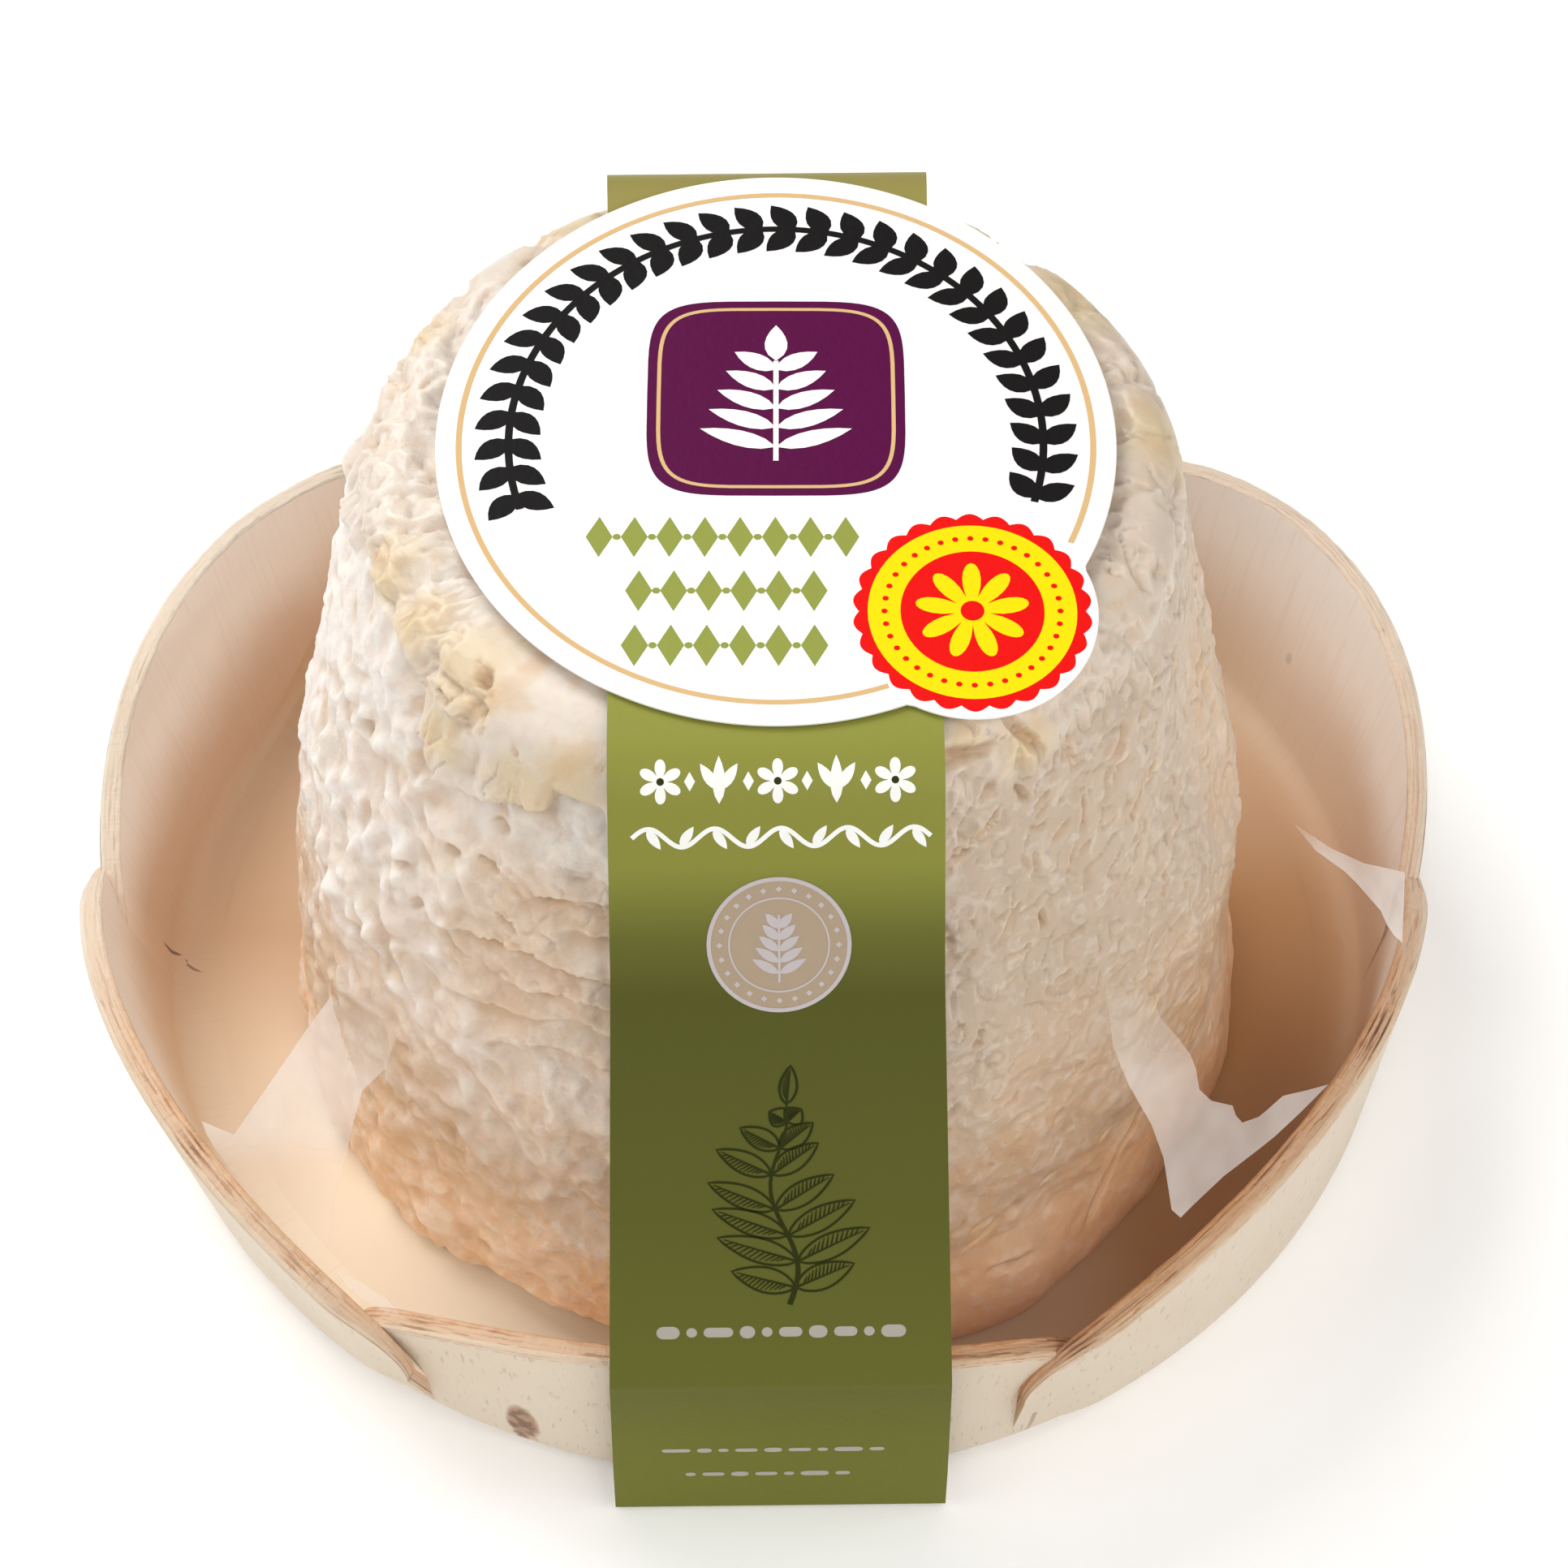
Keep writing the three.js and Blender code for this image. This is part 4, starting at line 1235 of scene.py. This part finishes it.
def walk(outline, step):
    """Points along a closed outline, no further apart than a step."""
    walked = []
    for start, end in zip(outline, outline[1:] + outline[:1]):
        start, end = Vector(start), Vector(end)
        parts = max(1, math.ceil((end - start).length / step))
        walked += [start.lerp(end, k / parts) for k in range(parts)]
    return walked


def filled(outline, step):
    """An outline filled with even triangles: its points and faces."""
    border = walk(outline, step)
    columns, rows = (np.arange(min(side), max(side), step) for side in zip(*border))
    inner = [Vector((x, y)) for x in columns for y in rows]
    edges = [(k, (k + 1) % len(border)) for k in range(len(border))]
    points, _, faces, *_ = geometry.delaunay_2d_cdt(border + inner, edges, [], 1, 1e-4)
    used = sorted({k for face in faces for k in face})
    place = {k: row for row, k in enumerate(used)}
    return [points[k] for k in used], [tuple(place[k] for k in face) for face in faces]


def painted_reflection_parts():
    tree = BVHTree.FromPolygons([Vector(point) for point in film_points], film_faces)
    for opacities, outline in PAINTED_REFLECTIONS:
        flat, faces = filled(outline, REFLECTION_STEP)
        veil = np.interp([pixel[1] for pixel in flat], *zip(*opacities))
        spots = []
        for pixel in flat:
            spot, normal, _, _ = tree.ray_cast(camera_place, sight(pixel))
            spots.append(spot + normal * REFLECTION_LIFT)
        yield np.array(spots), faces, [0] * len(faces), {"veil": veil}


reflection_paint = Finish("painted reflection")
# painted reflection: a whitish surface that stands in for the softboxes mirrored in the film
reflection_white = reflection_paint.surface(Base_Color=paint(244, 234, 226), Roughness=0.5, Specular_IOR_Level=0.2)
open_part = reflection_paint.node("BsdfTransparent")
uneven = reflection_paint.smooth(reflection_paint.noise(5), 0.3, 0.7) * 0.3 + 0.85
opacity = reflection_paint.read("veil") * uneven
reflection_material = reflection_paint.done(reflection_paint.node("MixShader", None, {0: opacity, 1: open_part, 2: reflection_white}))
reflection_points, reflection_faces, _, reflection_carried = joined(painted_reflection_parts())
piece("painted_film_reflections", reflection_points, reflection_faces, [reflection_material], carried=reflection_carried)

# %% [markdown]
# The band is one strip of coated paper, pulled tight round the pack like a belt round pulleys. Its route is
# the convex outline round six circles, seen from the side, and a place on it is given by a run along that
# outline and a distance across. Print is laid on with the same two numbers.

# %% Route of the band
PAPER_THICKNESS = 0.25
BAND_GROWTH = FILM_GROWTH + AIR
BAND_WIDTH = 22.1
BAND_X = 0.35
BAND_TURN = math.radians(0.75)
BAND_FRONT_RIM = 46.1
BAND_BACK_RIM = 47.3
RIM_HEIGHT = TRAY_FOOT + PETALS[0][1] + 0.2
PULLEY_STEPS = 96
BAND_STEP = 0.5
PULLEYS = [
    # y, z, radius
    (TOP_BACK - CHEESE_TOP_FLAT, CHEESE_TOP - CHEESE_EDGE, CHEESE_EDGE),
    (TOP_BACK + CHEESE_TOP_FLAT, CHEESE_TOP - CHEESE_EDGE, CHEESE_EDGE),
    (-BAND_FRONT_RIM, RIM_HEIGHT, 0), (BAND_BACK_RIM, RIM_HEIGHT, 0),
    (-TRAY_FOOT_RADIUS, TRAY_FOOT, 0), (TRAY_FOOT_RADIUS, TRAY_FOOT, 0),
]


def belt(growth):
    """Convex outline round the pulleys, from the front foot up over the top and back underneath."""
    turns = np.linspace(0, 2 * np.pi, PULLEY_STEPS, endpoint=False)
    cloud_points = np.concatenate([
        np.stack([y + (r + growth) * np.cos(turns), z + (r + growth) * np.sin(turns)], axis=1)
        for y, z, r in PULLEYS])
    ring = geometry.convex_hull_2d([Vector(point) for point in cloud_points])
    outline = cloud_points[ring][::-1]
    foot = int(np.argmin(outline[:, 0] + outline[:, 1]))
    return np.roll(outline, -foot, axis=0)


def spaced(outline, step):
    """The closed outline with its own corners, and points between them no further apart than a step."""
    return np.array([tuple(point) for point in walk(outline.tolist(), step)])


outer_route = spaced(belt(BAND_GROWTH + PAPER_THICKNESS), BAND_STEP)
run_at = run_along(outer_route)
fold = int(np.argmin(outer_route[: len(outer_route) // 3, 0]))
while outer_route[fold + 1, 1] < RIM_HEIGHT + 0.2:
    fold += 1
run_at -= run_at[fold]
print("band: points", len(outer_route), "run from", run_at[0].round(1), "to", run_at[-1].round(1), "mm")

# %% [markdown]
# The strip is the route swept across its width, with a thickness: four points for each place on the route,
# joined round. Its cut sides are faces of their own kind, so that they can stay pale.

# %% The paper strip
BAND_TAPER = [
    # run in millimetres from the rim's fold, share of the full width, which is a little slimmer on top
    (-14, 1.0), (0, 0.99), (14, 0.965), (28, 0.94), (60, 0.935), (85, 0.96), (105, 1.0),
]


def on_pack(across, y, z):
    """Points of the band, turned a little on the pack and set beside the tray's axis."""
    x = across * math.cos(BAND_TURN) - y * math.sin(BAND_TURN) + BAND_X
    turned = across * math.sin(BAND_TURN) + y * math.cos(BAND_TURN)
    return np.stack(np.broadcast_arrays(x + TRAY_AXIS[0], turned + TRAY_AXIS[1], z), axis=-1)


def inward(route):
    """Unit normals of a closed route, pointing into the pack."""
    ahead = np.roll(route, -1, axis=0) - np.roll(route, 1, axis=0)
    normals = np.stack([ahead[:, 1], -ahead[:, 0]], axis=1)
    return normals / np.linalg.norm(normals, axis=1, keepdims=True)


half_widths = BAND_WIDTH / 2 * np.interp(run_at, *zip(*BAND_TAPER))
inner_route = outer_route + inward(outer_route) * PAPER_THICKNESS
strip_rows = [(-half_widths, outer_route), (half_widths, outer_route), (half_widths, inner_route),
              (-half_widths, inner_route)]
strip = np.stack([on_pack(across, route[:, 0], route[:, 1]) for across, route in strip_rows], axis=1)
strip_faces, strip_kinds = [], []
for k in range(len(outer_route)):
    ahead = (k + 1) % len(outer_route)
    for side in range(4):
        beside = (side + 1) % 4
        strip_faces.append((4 * k + side, 4 * k + beside, 4 * ahead + beside, 4 * ahead + side))
        strip_kinds.append(int(side % 2 == 1))
print("strip:", len(strip_faces), "faces", strip.reshape(-1, 3).min(0).round(2))

# %% [markdown]
# The band's coat is a satin olive, and a ramp over the run gives its colour: bright at the top bend, darkest
# a third of the way down the slope, and a little lighter at the foot. Part of the ramp is painted shade: just
# below the rim's fold it is darkened, so that the front panel, which faces the front lamp, looks no brighter
# than the slope. The cut edges of the paper are left pale, which is why the real band has a thin light line
# down each side. A coat's unevenness only ever darkens its colour: mixed towards white instead, strong inks
# would turn chalky.

# %% Finish of the band
RUN_COLOURS_AND_SHADE = [
    # run in millimetres from the rim's fold, colour
    # just below the fold the colours are darkened: painted shade against the front lamp
    (-22.0, (115, 117, 30)), (-8.0, (104, 106, 22)), (-0.5, (93, 95, 20)), (0.0, (101, 103, 43)),
    (14.0, (91, 93, 38)), (27.0, (86, 87, 36)), (31.0, (104, 106, 46)), (35.5, (138, 139, 62)),
    (52.0, (144, 146, 66)), (100.0, (148, 136, 78)), (112.0, (150, 138, 86)),
]
COAT_SPECULAR = 0.1
FIBRE_SHADE = (0.86, 0.86, 0.86, 1.0)
INK_SHADE = (0.88, 0.88, 0.88, 1.0)


def coated(finish, colour, roughness=0.42):
    """Satin coated paper: nearly smooth, with a faint unevenness from its fibres."""
    fibre = finish.noise(0.5, detail=3)
    shade = finish.mix(fibre * 0.3, colour, FIBRE_SHADE, "MULTIPLY")
    relief = finish.bump(fibre + finish.noise(6, detail=1) * 0.6, 0.02)
    return finish.done(finish.surface(Base_Color=shade, Roughness=fibre * 0.1 + roughness, Normal=relief,
                                      Specular_IOR_Level=COAT_SPECULAR))


olive = Finish("olive coat")
olive_coat = coated(olive, olive.ramp(olive.read("run"), RUN_COLOURS_AND_SHADE))
edge = Finish("paper edge")
paper_edge = coated(edge, edge.between(edge.noise(0.3), (214, 208, 190), (238, 234, 222)), 0.7)
piece("paper_band", strip.reshape(-1, 3), strip_faces, [olive_coat, paper_edge], "band",
      {"run": np.repeat(run_at, 4)}, sharp=30, face_materials=strip_kinds)

# %% [markdown]
# Print lies on the paper as real ink does: thin flat shapes, each a hair above the last. Every shape is an
# outline in the paper's own plane, filled with small triangles and then carried to the model by a place
# function, so the same leaf or disc works on the flat card and round the band's bend. The motifs are plain
# and general: leaves, discs, lozenges and dashes in the label's colours.

# %% Shapes of ink
INK_LIFT = 0.018


class Print:
    """Flat shapes in several inks, which a place function carries onto a piece of paper."""

    def __init__(self, place, step, inks):
        self.place = place
        self.step = step
        self.inks = {name: self.ink(name, colour) for name, colour in inks.items()}
        self.parts = []

    def ink(self, name, colour):
        finish = Finish(name)
        uneven = finish.noise(1.1) * 0.3
        return coated(finish, finish.mix(uneven, paint(*colour), INK_SHADE, "MULTIPLY"))

    def add(self, name, flat, faces, layer):
        kind = list(self.inks).index(name)
        spots = self.place(flat[:, 0], flat[:, 1], INK_LIFT * layer)
        self.parts.append((spots, faces, [kind] * len(faces), {}))

    def lay(self, name, outline, layer=1.0):
        """A filled shape."""
        flat, faces = filled([tuple(point) for point in outline], self.step)
        self.add(name, np.array([tuple(point) for point in flat]), faces, layer)

    def line(self, name, path, width, layer=1.0, closed=False):
        """A stroke along a path. Its width may be one number, or one for each point."""
        path = np.asarray(path, float)
        ahead = np.roll(path, -1, axis=0) - np.roll(path, 1, axis=0) if closed else np.gradient(path, axis=0)
        beside = np.stack([-ahead[:, 1], ahead[:, 0]], axis=1)
        beside *= (np.broadcast_to(width, len(path)) / 2 / np.linalg.norm(beside, axis=1))[:, None]
        sides = np.stack([path + beside, path - beside], axis=1).reshape(-1, 2)
        steps = range(len(path) if closed else len(path) - 1)
        ends = [(2 * k, 2 * ((k + 1) % len(path))) for k in steps]
        self.add(name, sides, [(here, here + 1, there + 1, there) for here, there in ends], layer)

    def make(self, name):
        points, faces, kinds, _ = joined(self.parts)
        piece(name, points, faces, list(self.inks.values()), face_materials=kinds)


def oval(centre, across, up, steps=48, start=0.0, end=360.0):
    turns = np.radians(np.linspace(start, end, steps, endpoint=end - start < 360))
    return np.stack([centre[0] + across * np.cos(turns), centre[1] + up * np.sin(turns)], axis=1)


def flower(centre, across, up, petals, steps=12):
    """One outline of round petals that meet near the centre."""
    turns = np.linspace(0, 2 * np.pi, petals * steps, endpoint=False)
    reach = 0.3 + 0.7 * np.abs(np.cos(turns * petals / 2)) ** 0.8
    x = centre[0] + across * reach * np.sin(turns)
    return np.stack([x, centre[1] + up * reach * np.cos(turns)], axis=1)


def spine(foot, tip):
    """A leaf's foot and the way to its tip, and the direction beside them."""
    foot = np.array(foot, float)
    along = tip - foot
    return foot, along, np.array([-along[1], along[0]]) / np.linalg.norm(along)


def leaf(foot, tip, width, steps=7):
    """A pointed leaf from its foot to its tip."""
    foot, along, beside = spine(foot, tip)
    shares = np.linspace(0, 1, steps)
    bulge = width / 2 * np.sin(np.pi * shares ** 0.85) ** 0.85
    left_side = foot + shares[:, None] * along + bulge[:, None] * beside
    right_side = foot + shares[:, None] * along - bulge[:, None] * beside
    return np.concatenate([left_side, right_side[::-1][1:-1]])


def lozenge(centre, across, up):
    x, y = centre
    return [(x - across, y), (x, y - up), (x + across, y), (x, y + up)]


def capsule(left_end, right_end, thickness, steps=7):
    """A dash with round ends."""
    radius = thickness / 2
    right_cap = oval((right_end[0] - radius, right_end[1]), radius, radius, steps, -90, 90)
    left_cap = oval((left_end[0] + radius, left_end[1]), radius, radius, steps, 90, 270)
    return np.concatenate([right_cap, left_cap])


print("ink lies", INK_LIFT, "mm above the paper for each layer")

# %% [markdown]
# Round the band's top bend lie a row of flowers, a vine and a beige disc, which carries two rings, a ring
# of dots and five pairs of leaves. Where one shape lies on another it takes a higher layer.

# %% Print on the band
DISC = (0.1, 30.3)
DISC_RADIUS = 4.5
DISC_DOTS = 3.7
DISC_RINGS = [
    # radius, width of the line
    (DISC_RADIUS - 0.15, 0.26), (3.1, 0.12),
]
FLOWER_ROW = 41.0
FLOWER_GAP = 3.6
VINE_ROW = 37.4
VINE_LEFT = -8.9
VINE_PACE = 0.65


def on_band(across, run, lift):
    """A place on the band, from the distance across it and the run from the rim's fold."""
    lifted = outer_route - lift * inward(outer_route)
    y, z = (np.interp(run, run_at, lifted[:, k]) for k in range(2))
    return on_pack(np.asarray(across), y, z)


band_print = Print(on_band, 0.7, {
    "white ink": (250, 250, 244),
    "grey ink": (174, 170, 158),
    "beige ink": (176, 156, 132),
    "pale ring": (196, 188, 188),
    "dark green ink": (46, 50, 12),
})

for k in range(5):
    middle = (-7.1 + FLOWER_GAP * k, FLOWER_ROW)
    if k % 2:
        for side in (-1, 1):
            band_print.lay("white ink", leaf((middle[0] + 0.12 * side, middle[1] - 0.5),
                                             (middle[0] + 1.15 * side, middle[1] + 1.1), 0.7))
        foot, tip = (middle[0], middle[1] - 1.4), (middle[0], middle[1] + 1.6)
        band_print.lay("white ink", leaf(foot, tip, 0.8), 1.2)
    else:
        band_print.lay("white ink", flower(middle, 1.4, 1.4, 6))
        band_print.lay("dark green ink", oval(middle, 0.24, 0.24, 12), 1.3)
for k in range(4):
    band_print.lay("white ink", lozenge((-5.3 + FLOWER_GAP * k, FLOWER_ROW), 0.34, 0.6))

turns = np.linspace(0, 9 * np.pi, 120)
vine = np.stack([VINE_LEFT + turns * VINE_PACE, VINE_ROW + 0.6 * np.sin(turns)], axis=1)
band_print.line("white ink", vine, 0.3)
for k in range(9):
    across = VINE_LEFT + (k + 0.5) * np.pi * VINE_PACE
    side = 1 if k % 2 else -1
    foot = (across - 0.1, VINE_ROW - 0.55 * side)
    band_print.lay("white ink", leaf(foot, (across + 0.75, VINE_ROW + 0.75 * side), 0.62), 1.2)

band_print.lay("beige ink", oval(DISC, DISC_RADIUS, DISC_RADIUS))
for radius, width in DISC_RINGS:
    band_print.line("pale ring", oval(DISC, radius, radius, 97)[:-1], width, 2, closed=True)
for dot in oval(DISC, DISC_DOTS, DISC_DOTS, 24):
    band_print.lay("pale ring", lozenge(dot, 0.2, 0.2), 2)
for k in range(5):
    foot = (DISC[0], DISC[1] - 1.9 + 0.75 * k)
    for side in (-1, 1):
        band_print.lay("pale ring", leaf(foot, (foot[0] + side * (1.7 - 0.22 * k), foot[1] + 1.0), 0.62), 2)
band_print.line("pale ring", [(DISC[0], DISC[1] - 2.5 + 0.25 * k) for k in range(19)], 0.16, 2.2)

print("shapes on the band so far:", len(band_print.parts))

# %% [markdown]
# Low on the slope stands a herb in fine dark lines, drawn as an engraver would: a curved stem, and leaves
# that are an outline, a mid rib and a few strokes of shade on one side.

# %% The engraved herb
SPRIG_FOOT = (0.6, 5.8)
SPRIG_TIP = (-0.2, 19.6)
SPRIG_PAIRS = 7


def engraved_leaf(foot, tip, width):
    """A leaf's outline, its mid rib and strokes of shade on one side."""
    band_print.line("dark green ink", leaf(foot, tip, width, steps=12), 0.17, closed=True)
    foot, along, beside = spine(foot, tip)
    rib = [foot + along * share for share in np.linspace(0, 0.92, 6)]
    band_print.line("dark green ink", rib, np.linspace(0.18, 0.08, 6), 1.1)
    for share in np.linspace(0.14, 0.8, 11):
        reach = width / 2 * math.sin(math.pi * share ** 0.85) * 0.85
        start = foot + along * share
        end = start + beside * reach + along * 0.1
        band_print.line("dark green ink", [start, (start + end) / 2, end], [0.14, 0.11, 0.06], 1.2)


stem_shares = np.linspace(0, 1, 24)
stem = np.stack([
    lerp(SPRIG_FOOT[0], SPRIG_TIP[0], stem_shares) + 0.7 * np.sin(stem_shares * 2.6 * np.pi),
    lerp(SPRIG_FOOT[1], SPRIG_TIP[1], stem_shares)], axis=1)
band_print.line("dark green ink", stem, np.linspace(0.36, 0.14, 24), 1.3)
for k in range(SPRIG_PAIRS):
    share = 0.12 + 0.8 * k / (SPRIG_PAIRS - 1)
    foot = stem[int(share * 23)]
    length = 5.6 * (1 - 0.62 * (share - 0.25) ** 2 * 2.4) * (0.8 if k in (0, SPRIG_PAIRS - 1) else 1)
    for side in (-1, 1):
        lean = math.radians(24 + 26 * share + 5 * side)
        tip = (foot[0] + side * length * math.cos(lean), foot[1] + length * math.sin(lean) * 0.7)
        engraved_leaf(foot, tip, 1.8 - 0.5 * share)
engraved_leaf(stem[-1], (stem[-1][0] + 0.3, stem[-1][1] + 2.6), 1.1)

DASH_ROWS = [
    # run, left end, right end, thickness
    (3.9, -7.9, 8.0, 1.1), (-9.6, -7.8, 7.1, 0.85), (-13.4, -6.3, 5.6, 0.9),
]
DASHES = [1.5, 0.7, 1.9, 1.0, 0.7, 1.5, 1.2]
DASH_GAP = 0.4
for row, (run, left_end, right_end, thickness) in enumerate(DASH_ROWS):
    at, k = left_end, row * 2
    while at + min(DASHES) < right_end:
        stop = min(right_end, at + DASHES[k % len(DASHES)])
        band_print.lay("grey ink", capsule((at, run), (stop, run), thickness * (0.62 if k % 3 else 0.8)))
        at, k = stop + DASH_GAP, k + 1
band_print.make("band_print")

# %% [markdown]
# The card is an oval of white board with a round bulge at its lower right for the seal. It lies flat on the
# band. Its outline is the outer reach of two ovals, taken by angle, and its rim is rounded a little, as a
# die leaves it.

# %% The card
CARD_CENTRE = (0.64 + TRAY_AXIS[0], 2.0 + TRAY_AXIS[1])
CARD_STRETCH = 1.09
CARD_ACROSS = 21.9
CARD_UP = CARD_ACROSS * CARD_STRETCH
SEAL = (12.3, -13.5 * CARD_STRETCH)
SEAL_ACROSS = 7.9
SEAL_UP = SEAL_ACROSS * CARD_STRETCH
PACK_HEIGHT = 55.35
DIE_ROUNDING = 0.08
CARD_FOOT = CHEESE_TOP + BAND_GROWTH + PAPER_THICKNESS + AIR
CARD_TOP = PACK_HEIGHT - 4 * INK_LIFT
CARD_STEPS = 360


def card_outline(shrink=0.0):
    """Reach of the card in each direction from its centre: the larger of the oval and its bulge."""
    turns = np.linspace(0, 2 * np.pi, CARD_STEPS, endpoint=False)
    ray = np.stack([np.cos(turns), np.sin(turns)], axis=1)
    reach = 1 / np.linalg.norm(ray / (CARD_ACROSS - shrink, CARD_UP - shrink), axis=1)
    scale = np.array([SEAL_ACROSS - shrink, SEAL_UP - shrink])
    start = -np.array(SEAL) / scale
    step = ray / scale
    a, b = (step ** 2).sum(1), 2 * (step * start).sum(1)
    inside = b ** 2 - 4 * a * ((start ** 2).sum() - 1)
    bulge = np.where(inside > 0, (-b + np.sqrt(np.maximum(inside, 0))) / (2 * a), 0)
    return ray * np.maximum(reach, bulge)[:, None]


def on_card(across, up, lift):
    """A place on the card, from the distances across it and up from its centre."""
    places = np.broadcast_arrays(across + CARD_CENTRE[0], up + CARD_CENTRE[1], CARD_TOP + lift)
    return np.stack(places, axis=-1)


rims = [
    # how far the rim is drawn in, height
    (0.12, CARD_FOOT), (0.0, CARD_FOOT + DIE_ROUNDING), (0.0, CARD_TOP - DIE_ROUNDING), (0.1, CARD_TOP),
]
card_points = np.concatenate([on_card(*card_outline(shrink).T, height - CARD_TOP) for shrink, height in rims])
board = Finish("white board")
white_board = coated(board, board.between(board.noise(3), (250, 250, 248), (255, 255, 254)), 0.45)
card_faces = capped_grid(len(rims), CARD_STEPS)
piece("oval_card", card_points, card_faces, [white_board], "card", sharp=50)

# %% [markdown]
# The card's print begins with a thin gold ring, left open at the seal, and a garland of black leaves that
# stand in pairs on a curved stem.

# %% Print on the card
card_print = Print(on_card, 1.6, {
    "gold ink": (219, 182, 128),
    "black ink": (20, 18, 18),
    "purple ink": (87, 4, 65),
    "cream ink": (252, 248, 240),
    "leaf green ink": (147, 155, 72),
    "red ink": (232, 12, 8),
    "yellow ink": (255, 221, 0),
})

RING_FROM, RING_TO = -24, 290
card_print.line("gold ink", oval((0, 0), 20.4, 22.1, 220, RING_FROM, RING_TO), 0.38)

GARLAND = (17.2, 18.9)
GARLAND_FROM, GARLAND_TO = -17, 199
GARLAND_PAIRS = 30
card_print.line("black ink", oval((0, 0), *GARLAND, 160, GARLAND_FROM, GARLAND_TO), 0.5, 1.2)
for angle in np.radians(np.linspace(GARLAND_FROM + 1, GARLAND_TO - 4, GARLAND_PAIRS)):
    outward = np.array([math.cos(angle), math.sin(angle)])
    forward = np.array([-outward[1], outward[0]])
    foot = GARLAND * outward
    for side in (-1, 1):
        card_print.lay("black ink", leaf(foot, foot + forward * 1.75 + outward * side * 2.15, 1.6))
print("garland leaves:", 2 * GARLAND_PAIRS)

# %% [markdown]
# In the middle stands a purple plaque with a sprig, and below it stand three rows of lozenges. The seal is a
# stack of discs with a scalloped edge, a ring of dots and a flower.

# %% The plaque, the rows and the seal
PLAQUE = (0.0, 3.6)
PLAQUE_ACROSS, PLAQUE_UP = 8.35, 8.6
PLAQUE_FRAME = 0.75
ROWS = [
    # height, left end, right end
    (-8.5, -12.3, 5.55), (-13.0, -9.7, 3.5), (-17.5, -9.9, 3.55),
]


def soft_square(centre, across, up, squareness=5.0, steps=72):
    """A square with sides that swell a little: a superellipse."""
    turns = np.linspace(0, 2 * np.pi, steps, endpoint=False)
    c, s = np.cos(turns), np.sin(turns)
    x = centre[0] + across * np.sign(c) * np.abs(c) ** (2 / squareness)
    y = centre[1] + up * np.sign(s) * np.abs(s) ** (2 / squareness)
    return np.stack([x, y], axis=1)


card_print.lay("purple ink", soft_square(PLAQUE, PLAQUE_ACROSS, PLAQUE_UP))
frame_line = soft_square(PLAQUE, PLAQUE_ACROSS - PLAQUE_FRAME, PLAQUE_UP - PLAQUE_FRAME)
card_print.line("gold ink", frame_line, 0.26, 2, closed=True)
stem_foot, stem_tip = np.array([PLAQUE[0], PLAQUE[1] - 5.6]), np.array([PLAQUE[0], PLAQUE[1] + 3.2])
card_print.line("cream ink", [lerp(stem_foot, stem_tip, share) for share in np.linspace(0, 1, 9)], 0.34, 2.2)
for k in range(5):
    foot = np.array([PLAQUE[0], PLAQUE[1] - 4.4 + 1.7 * k])
    for side in (-1, 1):
        reach = 4.9 - 0.55 * k
        card_print.lay("cream ink", leaf(foot, foot + (side * reach, 1.6), 1.35), 2)
card_print.lay("cream ink", leaf(stem_tip, (PLAQUE[0], PLAQUE[1] + 6.4), 1.5), 2.4)

for up, left_end, right_end in ROWS:
    count = round((right_end - left_end) / 2.2)
    step = (right_end - left_end) / count
    for k in range(count):
        middle = left_end + step * (k + 0.5)
        card_print.lay("leaf green ink", lozenge((middle, up), 0.85, 1.7))
        if k + 1 < count:
            card_print.lay("leaf green ink", oval((middle + step / 2, up), 0.26, 0.26, 12))

SCALLOPS = 26
SCALLOP_DEPTH = 0.055
waves = np.linspace(0, SCALLOPS * np.pi, 8 * SCALLOPS, endpoint=False)
scallop = 1 - SCALLOP_DEPTH * (1 - np.abs(np.sin(waves)))
card_print.lay("red ink", oval(SEAL, 7.5 * scallop, 8.15 * scallop, 8 * SCALLOPS))
card_print.lay("yellow ink", oval(SEAL, 6.55, 7.15, 72), 2)
card_print.lay("red ink", oval(SEAL, 4.5, 4.95, 60), 3)
for dot in oval(SEAL, 5.5, 6.05, 36):
    card_print.lay("red ink", oval(dot, 0.2, 0.2, 10), 3)
card_print.lay("yellow ink", flower(SEAL, 3.6, 3.95, 9), 3.6)
card_print.lay("red ink", oval(SEAL, 0.75, 0.82, 20), 4)
card_print.make("card_print")
